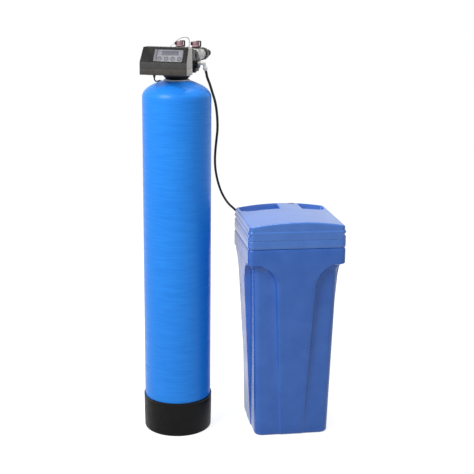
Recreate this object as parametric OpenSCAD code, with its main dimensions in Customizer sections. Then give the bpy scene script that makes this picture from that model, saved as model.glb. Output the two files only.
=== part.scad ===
// Water softener: a resin tank with a control head, and a square brine tank beside it.
// Millimetres, +Z up. The origin is the middle of the resin tank's foot, on the floor.

/* [Resin tank] */
// Outer diameter of the tank
tank_d = 257; // [235:1:280]
// Height of the neck's top face above the floor
tank_h = 1364; // [1150:1:1500]
// Height of the domed top and of the domed bottom
dome_h = 64; // [52:1:75]
// Thickness of the tank's wall
tank_wall = 4; // [3:0.5:6]
// Outer diameter of the neck's collar
collar_d = 96; // [92:1:104]
// Diameter of the neck's threaded opening
neck_bore_d = 73; // [68:1:76]
// Height of the resin's surface above the floor
bed_top = 980; // [400:10:1050]

/* [Tank boot] */
// Height of the boot that the tank stands in
boot_h = 138; // [100:1:180]
// Wall of the boot at its rim
boot_wall = 3.8; // [3.2:0.1:6]
// How much the boot's foot is drawn in on each side
boot_taper = 2.4; // [0:0.1:2.8]
// Thickness of the boot's floor
boot_floor = 5; // [3:0.5:8]
// Height of the tank's lowest point above the floor
tank_lift = 10; // [9:0.5:20]

/* [Riser and strainers] */
// Outer diameter of the riser tube
riser_d = 26.7; // [24:0.1:28]
// Wall of the riser tube
riser_wall = 2.5; // [1.5:0.1:4]
// Outer diameter of the lower strainer
strainer_d = 60; // [46:1:70]
// Height of the lower strainer
strainer_h = 70; // [50:1:100]

/* [Control head box] */
// How far the head is turned about the tank
head_yaw = -17; // [-30:1:30]
// Width of the box
box_w = 178; // [168:1:200]
// From the tank's axis to the front of the box
box_front = 130; // [124:1:140]
// Depth of the box from front to back
box_depth = 71; // [68:1:76]
// From the neck's face to the underside of the box
box_lift = 23; // [22:0.5:26]
// Height of the upright lower band of the front
band_h = 45; // [40:1:50]
// Height of the sloping part of the front
slope_h = 53; // [51:1:58]
// How far the slope leans back
slope_run = 27; // [20:1:30]
// Depth of the front cover's sides
cover_wrap = 8; // [6:0.5:9]
// Wall of the cover and of the housing
box_wall = 2.5; // [2:0.1:3]

/* [Display and buttons] */
// Width of the display panel
panel_w = 98; // [96:1:124]
// Height of the display panel along the slope
panel_h = 46; // [42:1:48]
// Middle of the panel, to the right of the box's middle
panel_x = 23; // [0:1:30]
// Width of the display glass
lcd_w = 64; // [50:1:80]
// Height of the display glass
lcd_h = 18; // [14:1:19]
// Diameter of a button
button_d = 13.4; // [10:0.1:14]
// Distance from button to button
button_pitch = 25; // [22:0.5:26]
// Travel of a button
button_travel = 0.8; // [0.4:0.1:1]

/* [Valve body] */
// Height of the pipe ports above the neck's face
port_lift = 82; // [80:0.5:86]
// Distance between the two pipe ports
port_pitch = 64; // [58:1:70]
// Bore of a pipe port
port_bore = 26; // [22:0.5:26]
// Outer diameter of a threaded port end
port_d = 40; // [37:0.5:42]
// Height of the disc shaft above the neck's face
disc_lift = 72; // [70:0.5:74]
// Diameter of the two ceramic discs
disc_d = 60; // [52:1:62]
// Thickness of a ceramic disc
disc_t = 9; // [6:0.5:10]
// Diameter of the disc shaft
shaft_d = 10; // [8:0.5:12]
// Teeth of the drive gear
gear_teeth = 48; // [40:4:48]
// Teeth of the motor pinion
pinion_teeth = 12; // [12:4:16]
// Tooth module of the gear pair
gear_module = 1.25; // [1.1:0.05:1.25]
// Width of the gears
gear_w = 8; // [5:0.5:9]

/* [Bypass and pipe tails] */
// Length of the bypass block between its joints
bypass_len = 120; // [110:1:140]
// Diameter of a bypass rotor
rotor_d = 30; // [30:0.5:36]
// Diameter of a bypass handle
handle_d = 40; // [30:1:44]
// Height of a bypass handle
handle_h = 23; // [16:1:30]
// Outer diameter of a pipe tail's thread
tail_d = 26.4; // [24:0.1:27]
// Length of a pipe tail
tail_len = 67; // [50:1:90]

/* [Injector, drain and brine elbow] */
// Height of the injector's axis above the neck's face
injector_lift = 60; // [58:0.5:63]
// Diameter of the injector boss
injector_d = 36; // [32:0.5:37]
// Diameter of the drain spigot
drain_d = 12.7; // [10:0.1:14]
// Outer diameter of the brine line
line_d = 9.5; // [8:0.5:10]

/* [Brine tank] */
// Middle of the brine tank, to the right of the resin tank
brine_x = 426; // [400:1:480]
// Middle of the brine tank, behind the resin tank's axis
brine_y = 44; // [20:1:60]
// How far the brine tank is turned
brine_yaw = 8.8; // [-20:0.1:20]
// Width of the rim band and of the lid
rim_w = 370; // [350:1:390]
// Width of the tub under the band
waist_w = 324; // [310:1:334]
// Width of the tub at the floor
foot_w = 288; // [276:1:300]
// Height of the ledge that the lid sits on
rim_z = 756; // [740:1:780]
// Height of the rim band under that ledge
rim_band_h = 58; // [46:1:116]
// Height of the lip that stands inside the lid
lip_h = 16; // [8:1:24]
// Wall of the tub
tub_wall = 4; // [3:0.5:5]
// Half-width of the raised panel at the floor
tie_low = 40; // [30:1:60]
// Half-width of the raised panel under its flare
tie_high = 72; // [64:1:80]
// Radius of the raised panel's flare
tie_flare_r = 95; // [90:1:110]

/* [Brine lid] */
// Height of the lid's ledge above the rim
ledge_h = 66; // [50:1:70]
// Height of the lid's sides above the rim
side_h = 85; // [76:1:100]
// Rise of the arched top
arch_rise = 16; // [8:1:24]
// Step from the band to the arched panel
ledge_step = 4; // [2:0.5:6]
// Wall of the lid
lid_wall = 4; // [3:0.5:5]
// Depth of the grip pockets under the top of the sides
pocket_depth = 15; // [10:1:18]

/* [Brine tank inside] */
// Outer diameter of the brine well
well_d = 104; // [90:1:110]
// Height of the salt grid above the floor
grid_z = 120; // [80:1:160]
// From the rim's ledge down to the wall fittings
fitting_drop = 116; // [106:1:156]
// Diameter of the float
float_d = 60; // [50:1:64]
// Travel of the float
float_travel = 60; // [20:1:80]

/* [Power lead] */
// Diameter of the lead
lead_d = 5; // [4.5:0.1:5.5]
// Loops in each of the coil's two layers
coil_loops = 3; // [2:1:4]
// Inner radius of the coil at the lead's middle
coil_in_r = 20; // [18:1:24]

/* [Hidden] */
$fn = 64;

// Clearances: seat between still pieces, loose between moving ones, run for a shaft in its bearing
seat = 0.3;
loose = 0.4;
run = 0.05;
cut = 1;
film = 0.1;

// Resin tank levels
tank_r = tank_d / 2;
neck_rise = 1;
dome_top = tank_h - neck_rise;
spring_high = dome_top - dome_h;
spring_low = tank_lift + dome_h;
dome_steps = 18;
collar_r = collar_d / 2;
collar_lap = 4;
collar_drop = 20;
mouth_r = collar_r - collar_lap;
neck_r = neck_bore_d / 2;
riser_r = riser_d / 2;
strainer_r = strainer_d / 2;
inner_r = tank_r - tank_wall;
inner_dome = dome_h - tank_wall;
strainer_z = spring_low - ellipse_z(strainer_r, inner_r, inner_dome) + seat;
riser_rise = 54;
riser_top = tank_h + riser_rise;
boot_r = tank_r + loose + boot_wall;
foot_r = boot_r - boot_taper;
foot_edge = 8;
boot_seat_r = 62;
boot_seat_w = 6;
rib_pitch = 7;
rib_depth = 2;

// Head levels, in the head's own frame: x to the right, y to the back
stub_r = neck_r - seat;
stub_h = 22;
skirt_low_r = 39;
skirt_r = 50;
skirt_h = 12;
skirt_band = 8;
barrel_r = 40;
annulus_r = 27;
annulus_top = tank_h + 26;
port_z = tank_h + port_lift;
port_x = port_pitch / 2;
port_r = port_d / 2;
port_end = 76;
block_front = -12;
block_back = 40;
block_half = 58;
block_low = 26;
block_high = 24;
port_wall = 20;
disc_z = tank_h + disc_lift;
disc_r = disc_d / 2;
chamber_r = disc_r + loose;
chamber_back = -16;
bonnet_t = 6;
bonnet_plug = 5;
bonnet_r = 46;
box_back = box_depth - box_front;
valve_front = box_back + bonnet_t;
disc_barrel_wall = 7;
disc_barrel_r = chamber_r + disc_barrel_wall;
box_low = tank_h + box_lift;
crease_z = box_low + band_h;
box_top = crease_z + slope_h;
box_x = -5.5;
slope_len = norm([slope_run, slope_h]);
slope_tilt = atan2(slope_h, slope_run);
housing_inside = box_back - box_wall;

// Screws, all of one size
screw_r = 2;
screw_len = 14;
screw_head_r = 4;
screw_head_h = 3;
screw_reach = 10;
bonnet_screw_r = 41;
corner_inset = 10;
post_r = 5;

// Gear pair: the pinion sits below and to the left of the drive gear
gear_reach = 18.5;
gear_front = housing_inside - gear_reach;
gear_pitch_r = gear_teeth * gear_module / 2;
pinion_pitch_r = pinion_teeth * gear_module / 2;
gear_gap = gear_pitch_r + pinion_pitch_r;
mesh_angle = 225;
tooth_root = 0.28;
tooth_tip = 0.10;
addendum = 0.9;
dedendum = 1.15;
pinion_x = gear_gap * cos(mesh_angle);
pinion_z = disc_z + gear_gap * sin(mesh_angle);
motor_r = 15;
motor_len = 22;
motor_plate = 2;
motor_shaft_r = 2.5;
motor_gap = 1;
motor_back = gear_front - motor_gap;
motor_front = motor_back - motor_plate;
ear_reach = 20;
ear_r = 5;
ear_post_r = 4;
gear_hub_r = 9;
gear_hub_out = 3;

// Display panel, measured up the slope from the crease and in from its surface
panel_drop = 1.2;
panel_v = slope_len / 2 - panel_drop;
panel_sink = 1;
lcd_sink = 0.6;
panel_flange = 2;
slope_skin = box_wall * cos(90 - slope_tilt);
flange_t = 1.6;
flange_in = slope_skin + flange_t;
board_in = 10;
board_t = 1.6;
lcd_margin = 5;
lcd_v = panel_v + panel_h / 2 - lcd_h / 2 - lcd_margin;
button_margin = 11;
button_v = panel_v - panel_h / 2 + button_margin;
panel_post_in = 3;
button_proud = 0.6;
button_flange = 1.5;
button_flange_t = 1.5;
button_stem_r = 2.5;
switch_h = 0.6;
switch_w = 6;
button_names = ["menu_button", "down_button", "up_button", "enter_button"];

// Bypass, pipe tails and their nuts
joint_flange = 4;
joint_flange_r = port_r - 1;
joint_neck = 18;
nut_over = 2.5;
nut_front = 16;
nut_back = 14;
nut_ribs = 12;
nut_rib_r = 1.6;
rotor_reach = 46;
rotor_y = port_end + rotor_reach;
rotor_r = rotor_d / 2;
rotor_wall = 4;
rotor_drop = 22;
rotor_rise = 24;
rotor_low = port_z - rotor_drop;
rotor_high = port_z + rotor_rise;
boss_low = rotor_low - rotor_wall;
rotor_hole_r = 10;
cross_r = 14;
cross_hole_r = 9;
cap_t = 5;
stem_r = 7;
handle_gap = 1;
handle_z = rotor_high + cap_t + handle_gap;
handle_bar = 10;
handle_skirt = 5;
handle_grip_r = 12;
lever_t = 4;
bypass_end = port_end + bypass_len;
tail_end = bypass_end + tail_len;
tail_bore_r = 9.5;
tail_relief = 0.7;
thread_start = bypass_end + nut_back + 3;
seal_wire = 1.4;
seal_room = 0.2;
joint_seal_out = 3.2;
joint_seal_r = port_bore / 2 + joint_seal_out;
shaft_seal_r = shaft_d / 2 + seal_wire + film;
neck_seal_r = stub_r - seal_wire + film;
neck_seal_drop = 7;
neck_seal_z = tank_h - neck_seal_drop;

// Flow meter in the outlet port
turbine_y = 40;
turbine_len = 12;
turbine_gap = 0.6;
turbine_r = port_bore / 2 - turbine_gap;
turbine_hub_r = 4;
turbine_blades = 6;
blade_t = 1.4;
axle_r = 1.25;
spider_t = 4;
probe_r = 5;
probe_boss_r = 8;
probe_rise = 9;
probe_floor = 2;
probe_boss_rise = 5;
probe_top = port_z + port_r + probe_rise;
probe_low = port_z + port_bore / 2 + probe_floor;
cable_d = 3.4;
cable_x = 2;
cable_in = 5;

// Injector, drain and brine elbow
injector_z = tank_h + injector_lift;
injector_y = 14;
injector_end = 74;
injector_bore_r = 11;
injector_r = injector_d / 2;
injector_cap_t = 8;
injector_cap_lip = 2;
injector_screw_in = 3.5;
injector_root = 42;
drain_x = 62;
drain_drop = 27;
drain_z = injector_z - drain_drop;
drain_r = drain_d / 2;
drain_out = 40;
drain_wall = 1.8;
drain_lip = 1;
drain_way_r = 3.5;
drain_shoulder = 2;
drain_collar = 3;
collar_start = injector_y + drain_r + drain_wall + seat;
drain_seat = drain_z + drain_r + drain_shoulder;
drain_low = drain_z - drain_r - drain_wall;
elbow_r = 6;
elbow_x = 101;
elbow_tilt = 15;
elbow_leg = 14;
elbow_bulge = 0.8;
tube_nut_len = 14;
tube_nut_flats = 10;
tube_nut_lip = 1.2;
tube_nut_r = 8.5;
line_exit = elbow_leg + tube_nut_len;

// Brine tank
rim_half = rim_w / 2;
band_z = rim_z - rim_band_h;
rim_round = 20;
waist_round = 26;
foot_edge_h = 12;
lip_gap = 1.5;
lip_half = rim_half - ledge_step - lid_wall - lip_gap;
lip_top = rim_z + lip_h;
tie_gap = 8;
tie_top_z = band_z - tie_gap;
tie_flare_h = 85;
tie_foot = 2.5;
arc_steps = 8;
plate_t = 0.5;
flare_h = 15;
pad_r = 18;
pad_t = 14;
pad_proud = 3;
fitting_x = 50;
fitting_z = rim_z - fitting_drop;
fitting_r = 8;
fitting_flange = 14;
fitting_reach = 22;
pad_y = tie_plane(fitting_z) + pad_proud;
pad_in = pad_y - pad_t;
wall_leg = 18;
overflow_seat = 11;
overflow_collar = 7;
wall_nut_t = 6;
wall_exit = fitting_z + wall_leg + tube_nut_len;

// Brine lid
lid_low = rim_z + seat;
ledge_z = rim_z + ledge_h;
side_z = rim_z + side_h;
arch_half = rim_half - ledge_step;
crown_z = side_z + arch_rise;
arch_r = (arch_half * arch_half + arch_rise * arch_rise) / (2 * arch_rise);
arch_z = crown_z - arch_r;
groove_h = 33;
groove_t = 3;
groove_deep = 1.2;
pocket_front = 70;
pocket_edge = 14;
pocket_back = rim_half - pocket_edge;
ridge_left = -15;
ridge_right = 67;
pocket_left = [pocket_edge - rim_half, ridge_left];
pocket_right = [ridge_right, rim_half - pocket_edge];
pocket_low = side_z - pocket_depth;
pocket_lip = side_z + arch_rise / 2;
plate_w = 40;
plate_d = 14;
plate_x = 34;
plate_edge = 17;
plate_y = rim_half - plate_edge;
plate_h = 2.4;
plate_sunk = 1.4;
plate_seat_z = arch_top(plate_x + plate_w / 2) - plate_sunk;

// Brine well and float valve
well_r = well_d / 2;
well_wall = 3;
well_x = -fitting_x;
well_gap = 2;
well_y = foot_w / 2 - foot_edge_h - well_r - well_gap;
well_drop = 22;
well_top = rim_z - well_drop;
well_hole_r = 6;
well_hole_z = 30;
cap_over = 3;
cap_lap = 8;
cap_top = 4;
grid_t = 5;
grid_gap = 1;
grid_half = foot_w / 2 - tub_wall - grid_gap;
grid_leg_r = 10;
grid_hole_r = 9;
grid_step = 36;
stem_tube_r = 6;
stem_tube_wall = 2;
valve_r = 15;
valve_drop = 36;
valve_rise = 20;
check_r = 17;
check_wall = 3;
check_gap = 8;
check_low = tub_wall + check_gap;
check_h = 44;
ball_r = 9;
ball_seat_r = 6;
ball_z = check_low + check_wall + sqrt(ball_r * ball_r - ball_seat_r * ball_seat_r) + film;
rod_r = 3;
rod_x = 24;
guide_t = 8;
guide_z = fitting_z - valve_drop;
float_h = 60;
float_z = 260;
stop_r = 6;
stop_t = 5;

// Power lead, coil and adapter, behind the resin tank
gland_x = -60;
gland_y = -72;
gland_len = 14;
gland_top_r = 6;
gland_end_r = 3.6;
coil_gap = 1.2;
coil_step = lead_d + coil_gap;
coil_out_r = coil_in_r + coil_loops * coil_step;
coil_climb = 0.5;
coil_turns = 2 * coil_loops + coil_climb;
coil_x = -58;
coil_y = 240;
coil_tail = 28;
tie_t = 1.2;
tie_w = 8;
coil_z = tie_t + loose + lead_d / 2;
rings_per_loop = 24;
coil_sides = 6;
tube_sides = 8;
line_sides = 12;
curve_steps = 2;
adapter_w = 48;
adapter_l = 62;
adapter_h = 34;
relief_l = 15;
relief_lip = 0.8;
pin_l = 19;
pin_r = 2;
pin_pitch = 19;

// Route of the brine line after it leaves the head's elbow, down to the brine tank's back wall
line_route = [
    [113, -17, 1373], [122, -12, 1349], [131, -4, 1319], [141, 6, 1285], [147, 18, 1249], [150, 32, 1210],
    [150, 48, 1171], [146, 66, 1130], [142, 86, 1088], [140, 108, 1046], [142, 132, 1003], [149, 158, 959],
    [161, 184, 914], [177, 210, 876], [194, 236, 847], [215, 256, 823], [239, 266, 796], [264, 266, 768],
    [289, 260, 741], [313, 252, 717]
];

// Route of the power lead over the dome and down the tank's back to the floor
lead_route = [
    [-77, -46, 1364], [-75, -34, 1359], [-72, -18, 1357], [-69, -2, 1357], [-66, 14, 1357], [-64, 30, 1356],
    [-62, 50, 1353], [-62, 72, 1348], [-61, 93, 1338], [-60, 111, 1321], [-59, 119, 1300], [-58, 121, 1270],
    [-58, 122, 1240], [-57, 122, 1200], [-57, 122, 1100], [-57, 122, 1000], [-57, 122, 900], [-57, 122, 800],
    [-57, 122, 700], [-57, 122, 600], [-57, 122, 500], [-57, 122, 400], [-57, 122, 320], [-57, 124, 250],
    [-56, 126, 200], [-54, 128, 150], [-50, 130, 110], [-44, 132, 75], [-36, 137, 43], [-28, 147, 19],
    [-22, 164, 7], [-20, 184, 4], [-20, 206, 4]
];

// Route of the meter's cable in the head's frame, measured up from the housing's top, to the probe
cable_rises = [
    [4, -58, 7], [7, -48, 13], [11, -30, 21], [16, -10, 27], [21, 6, 30], [27, 20, 31], [32, 33, 28], [34, 42, 19]
];
cable_route = [for (p = cable_rises) p + [0, 0, box_top]];

// Height of an ellipse of half-width a and height b at the distance r from its middle
function ellipse_z(r, a, b) = b * sqrt(max(0, 1 - (r / a) * (r / a)));

// Half-section of a closed vessel with domed ends, from its lowest to its highest point
function vessel(r, dome, low, high) = concat(
    [for (i = [0 : dome_steps]) let (a = 90 * i / dome_steps) [r * sin(a), low - dome * cos(a)]],
    [for (i = [0 : dome_steps]) let (a = 90 * i / dome_steps) [r * cos(a), high + dome * sin(a)]]
);

// Outline of a gear, four points to a tooth
function gear_outline(teeth) = [
    for (i = [0 : teeth - 1]) let (
        step = 360 / teeth,
        pitch_r = teeth * gear_module / 2,
        low = pitch_r - dedendum * gear_module,
        high = pitch_r + addendum * gear_module
    )
    for (k = [[-tooth_root, low], [-tooth_tip, high], [tooth_tip, high], [tooth_root, low]])
        k[1] * [cos((i + k[0]) * step), sin((i + k[0]) * step)]
];

// Distance of the raised panel's face from the tub's middle at the height z
function tie_plane(z) = foot_w / 2 + tie_foot + (rim_half - foot_w / 2 - tie_foot) * z / tie_top_z;

// Half-outline of the raised panel: straight up, then flared along an arc
function tie_edge(inset) = concat(
    [[tie_low - inset, 0]],
    [for (i = [0 : arc_steps]) let (a = asin(tie_flare_h / tie_flare_r) * i / arc_steps)
        [tie_high - inset + tie_flare_r * (1 - cos(a)), tie_top_z - tie_flare_h + tie_flare_r * sin(a)]]
);

// Height of the lid's arch at the distance x from its middle
function arch_top(x) = arch_z + sqrt(arch_r * arch_r - x * x);

function unit(v) = v / norm(v);

// A smooth curve through the points p, with so many steps between two of them
function curve_point(a, b, c, d, t) =
    (2 * b + (c - a) * t + (2 * a - 5 * b + 4 * c - d) * t * t + (3 * b - a - 3 * c + d) * t * t * t) / 2;

function curve(p, steps) = concat(
    [for (i = [0 : len(p) - 2]) for (k = [0 : steps - 1])
        curve_point(p[max(i - 1, 0)], p[i], p[i + 1], p[min(i + 2, len(p) - 1)], k / steps)],
    [p[len(p) - 1]]
);

// A smooth route that leaves its first point along one step and reaches its last along another
function straight_ends(first, step_out, route, step_in, last) = concat(
    [first],
    curve(concat([first + step_out], route, [last + step_in]), curve_steps),
    [last]
);

function heading(p, i) = unit(p[min(i + 1, len(p) - 1)] - p[max(i - 1, 0)]);

// A direction square to the path at each point, carried along without twist
function side_vectors(p, i = 0, u = [0, 0, 1], found = []) = i == len(p) ? found :
    let (
        t = heading(p, i),
        start = abs(t[2]) > 0.8 ? [1, 0, 0] : [0, 0, 1],
        v = i == 0 ? start : u,
        s = unit(v - (v * t) * t)
    )
    side_vectors(p, i + 1, s, concat(found, [s]));

// The coil's path: spiral in on the floor, climb in half a turn, spiral out on top
function coil_radius(turn) = turn <= coil_loops ? coil_out_r - coil_step * turn :
    turn <= coil_loops + coil_climb ? coil_in_r : coil_in_r + coil_step * (turn - coil_loops - coil_climb);

function coil_height(turn) = coil_z + coil_step * min(1, max(0, (turn - coil_loops) / coil_climb));

function coil_point(turn) = [
    coil_x + coil_radius(turn) * cos(360 * turn),
    coil_y + coil_radius(turn) * sin(360 * turn),
    coil_height(turn)
];

coil_count = coil_turns * rings_per_loop;
coil_path = [for (i = [0 : coil_count]) coil_point(i / rings_per_loop)];
coil_start = coil_point(0) - [0, lead_d, 0];
coil_finish = coil_point(coil_turns) - [0, coil_tail, 0];
coil_all = concat([coil_start], coil_path, [coil_finish]);
coil_least_gap = min([
    for (i = [0 : coil_count]) for (k = [i + rings_per_loop / 2 : coil_count])
        norm(coil_path[i] - coil_path[k])
]) - lead_d;
echo("least gap between the coil's loops, mm", coil_least_gap);

// Places in the floor's frame that the cords start from
function turned(p, yaw) = [p[0] * cos(yaw) - p[1] * sin(yaw), p[0] * sin(yaw) + p[1] * cos(yaw), p[2]];

line_dir = [sin(elbow_tilt), 0, -cos(elbow_tilt)];
line_start = turned([elbow_x, injector_y, injector_z] + line_exit * line_dir, head_yaw);
line_end = [brine_x, brine_y, 0] + turned([-fitting_x, pad_y + fitting_reach, wall_exit], brine_yaw);
lead_start = turned([gland_x, gland_y, box_low - gland_len], head_yaw);
line_path = straight_ends(
    line_start, turned(line_dir, head_yaw) * line_d, line_route, [0, 0, line_d], line_end
);
lead_path = straight_ends(lead_start, [0, 0, -lead_d], lead_route, [0, -2 * lead_d, 0], coil_start);
cable_start = [cable_x, housing_inside - cable_in, box_top];
cable_end = [port_x, turbine_y + turbine_len / 2, probe_top];
cable_path = straight_ends(cable_start, [0, 0, cable_d], cable_route, [0, 0, 2 * cable_d], cable_end);

// Shared shapes

module in_head() { rotate([0, 0, head_yaw]) children(); }

module in_brine() { translate([brine_x, brine_y, 0]) rotate([0, 0, brine_yaw]) children(); }

// A cylinder from front to back, with its front end at y
module bar_y(x, y, z, r, len) { translate([x, y, z]) rotate([-90, 0, 0]) cylinder(r = r, h = len); }

// A cylinder from left to right, with its left end at x
module bar_x(x, y, z, r, len) { translate([x, y, z]) rotate([0, 90, 0]) cylinder(r = r, h = len); }

module rod_z(x, y, z, r, len) { translate([x, y, z]) cylinder(r = r, h = len); }

// A flat shape drawn in x and z, with its front at y
module plate_y(y, t) { translate([0, y + t, 0]) rotate([90, 0, 0]) linear_extrude(t) children(); }

module ring_z(x, y, z, r, wire) {
    translate([x, y, z]) rotate_extrude() translate([r, 0]) circle(r = wire, $fn = 24);
}

module ring_y(x, y, z, r, wire) {
    translate([x, y, z]) rotate([90, 0, 0]) rotate_extrude() translate([r, 0]) circle(r = wire, $fn = 24);
}

// A square with round corners
module round_square(half, r) {
    square([2 * half, 2 * (half - r)], center = true);
    square([2 * (half - r), 2 * half], center = true);
    for (x = [-1, 1], y = [-1, 1]) translate([x, y] * (half - r)) circle(r = r, $fn = 48);
}

module round_plate(half, r, z, t) { translate([0, 0, z]) linear_extrude(t) round_square(half, r); }

// Blend between two square plates of different size
module loft(half_a, r_a, z_a, half_b, r_b, z_b) {
    hull() {
        round_plate(half_a, r_a, z_a, plate_t, $fn = 32);
        round_plate(half_b, r_b, z_b - plate_t, plate_t, $fn = 32);
    }
}

module screw() {
    translate([0, 0, -screw_head_h]) cylinder(r = screw_head_r, h = screw_head_h);
    cylinder(r = screw_r, h = screw_len);
}

module screw_hole(len) { translate([0, 0, -cut]) cylinder(r = screw_r + run, h = len + cut); }

// A tube of d along the path p
module swept_tube(p, d, sides) {
    u = side_vectors(p);
    last = len(p) - 1;
    skin = [for (i = [0 : last]) let (t = heading(p, i), w = cross(t, u[i])) for (k = [0 : sides - 1])
        let (a = 360 * k / sides) p[i] + d / 2 * (cos(a) * u[i] + sin(a) * w)];
    walls = [for (i = [0 : last - 1]) for (k = [0 : sides - 1])
        let (a = i * sides + k, b = i * sides + (k + 1) % sides)
        each [[a, a + sides, b], [b, a + sides, b + sides]]];
    near = [for (k = [1 : sides - 2]) [0, k, k + 1]];
    base = last * sides;
    far = [for (k = [1 : sides - 2]) [base, base + k + 1, base + k]];
    polyhedron(points = skin, faces = concat(walls, near, far), convexity = 10);
}

// Resin tank

module resin_tank() {
    color("dodgerblue") difference() {
        rotate_extrude($fn = 96) polygon(vessel(tank_r, dome_h, spring_low, spring_high));
        rotate_extrude($fn = 96) polygon(vessel(inner_r, inner_dome, spring_low, spring_high));
        translate([0, 0, spring_high]) cylinder(r = mouth_r, h = dome_h + cut);
    }
}

module tank_boot() {
    seat_z = spring_low - ellipse_z(boot_seat_r, tank_r, dome_h) - seat;
    color([0.14, 0.14, 0.14]) {
        difference() {
            rotate_extrude($fn = 96) polygon(concat(
                [[0, 0]],
                [for (i = [0 : arc_steps]) let (a = 90 * i / arc_steps)
                    [foot_r - foot_edge * (1 - sin(a)), foot_edge * (1 - cos(a))]],
                [[boot_r, boot_h], [0, boot_h]]
            ));
            translate([0, 0, boot_floor]) cylinder(r = tank_r + loose, h = boot_h);
        }
        translate([0, 0, boot_floor]) difference() {
            cylinder(r = boot_seat_r + boot_seat_w, h = seat_z - boot_floor);
            translate([0, 0, -cut]) cylinder(r = boot_seat_r, h = seat_z + cut);
        }
    }
}

module neck_collar() {
    lip = spring_high + ellipse_z(mouth_r, tank_r, dome_h) + seat;
    color("white") rotate_extrude() polygon([
        [neck_r, tank_h - collar_drop], [mouth_r - seat, tank_h - collar_drop], [mouth_r - seat, lip],
        [collar_r, lip], [collar_r, tank_h], [neck_r, tank_h]
    ]);
}

module riser_tube() {
    low = strainer_z + strainer_h / 2;
    color("whitesmoke") translate([0, 0, low]) difference() {
        cylinder(r = riser_r, h = riser_top - low);
        translate([0, 0, -cut]) cylinder(r = riser_r - riser_wall, h = riser_top);
    }
}

// A strainer with rings all round, from the radius r_in to r_out
module ribbed_sleeve(r_in, r_out, h) {
    rotate_extrude() {
        translate([r_in, 0]) square([r_out - r_in - rib_depth, h]);
        for (z = [0 : rib_pitch : h - rib_pitch / 2])
            translate([r_in, z]) square([r_out - r_in, min(rib_pitch / 2, h - z)]);
    }
}

module bottom_strainer() {
    color("gainsboro") translate([0, 0, strainer_z]) {
        ribbed_sleeve(riser_r + film, strainer_r, strainer_h);
        cylinder(r = riser_r + rib_depth, h = strainer_h / 2 - film);
    }
}

module top_strainer() {
    low = tank_h - stub_h - strainer_h / 2;
    color("gainsboro") translate([0, 0, low]) {
        ribbed_sleeve(riser_r + film, annulus_r + rib_depth, strainer_h / 2 - film);
        difference() {
            cylinder(r = annulus_r - seat, h = strainer_h / 2 + stub_h / 2);
            translate([0, 0, -cut]) cylinder(r = riser_r + film, h = strainer_h + stub_h);
        }
    }
}

module resin_bed() {
    color("goldenrod") difference() {
        intersection() {
            rotate_extrude($fn = 96)
                polygon(vessel(inner_r - seat, inner_dome - seat, spring_low, spring_high));
            cylinder(r = tank_r, h = bed_top);
        }
        cylinder(r = strainer_r + seat, h = strainer_z + strainer_h + seat);
        cylinder(r = riser_r + seat, h = bed_top + cut);
    }
}

// Valve body and drive

module valve_body() {
    color([0.16, 0.16, 0.17]) in_head() difference() {
        union() {
            translate([0, 0, tank_h - stub_h]) cylinder(r = stub_r, h = stub_h);
            translate([0, 0, tank_h]) cylinder(r1 = skirt_low_r, r2 = skirt_r, h = skirt_h);
            rod_z(0, 0, tank_h + skirt_h, skirt_r, skirt_band);
            rod_z(0, 0, tank_h + skirt_h, barrel_r, port_lift - block_low);
            bar_y(0, valve_front, disc_z, disc_barrel_r, -valve_front);
            bar_y(0, valve_front, disc_z, bonnet_r, bonnet_t + screw_reach / 2);
            translate([-block_half, block_front, port_z - block_low])
                cube([2 * block_half, block_back - block_front, block_low + block_high]);
            for (x = [-port_x, port_x])
                bar_y(x, block_back - cut, port_z, port_r, port_end - block_back + cut);
            rod_z(port_x, cable_end[1], port_z, probe_boss_r, port_r + probe_boss_rise);
            bar_x(injector_root, injector_y, injector_z, injector_r, injector_end - injector_root);
            rod_z(drain_x, injector_y, drain_seat, drain_r + drain_wall, injector_z - drain_seat);
        }
        rod_z(0, 0, tank_h - stub_h - cut, annulus_r, annulus_top - tank_h + stub_h + cut);
        rod_z(0, 0, tank_h, riser_r + film, riser_top - tank_h + seat);
        bar_y(0, valve_front - cut, disc_z, chamber_r, chamber_back - valve_front + cut);
        bar_y(0, chamber_back - cut, disc_z - disc_r / 2, disc_r / 4, cut - chamber_back);
        for (x = [-port_x, port_x]) {
            bar_y(x, block_front + port_wall, port_z, port_bore / 2, port_end);
            bar_y(x / 2, chamber_back - cut, disc_z + disc_r / 4, disc_r / 4,
                block_back - chamber_back - port_wall);
        }
        rod_z(port_x, cable_end[1], probe_low, probe_r + seat, probe_top);
        bar_x(injector_root, injector_y, injector_z, injector_bore_r, injector_end);
        rod_z(drain_x, injector_y, drain_z, drain_r - drain_wall, injector_z - drain_z);
        bonnet_screw_places(valve_front) screw_hole(screw_reach);
        for (y = [-1, 1]) injector_screw_place(y) screw_hole(screw_len + injector_cap_t);
        for (x = [-port_x, port_x]) seal_groove_y(x, port_end, port_z);
        translate([0, 0, neck_seal_z - seal_wire - seal_room]) difference() {
            cylinder(r = neck_r, h = 2 * (seal_wire + seal_room));
            translate([0, 0, -cut]) cylinder(r = neck_seal_r - seal_wire - seal_room, h = stub_h);
        }
    }
}

// Four places round the disc chamber, pointing to the back from y
module bonnet_screw_places(y) {
    for (a = [45 : 90 : 315])
        translate([bonnet_screw_r * cos(a), y, disc_z + bonnet_screw_r * sin(a)])
            rotate([-90, 0, 0]) children();
}

module injector_screw_place(side) {
    y = injector_y + side * (injector_r - injector_screw_in);
    translate([injector_end + injector_cap_t, y, injector_z]) rotate([0, -90, 0]) children();
}

// A ring-shaped groove in the face at y, open to the back
module seal_groove_y(x, y, z) {
    depth = 2 * seal_wire;
    difference() {
        bar_y(x, y - depth, z, joint_seal_r + seal_wire + seal_room, depth + cut);
        bar_y(x, y - depth - cut, z, joint_seal_r - seal_wire - seal_room, depth + 3 * cut);
    }
}

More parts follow.
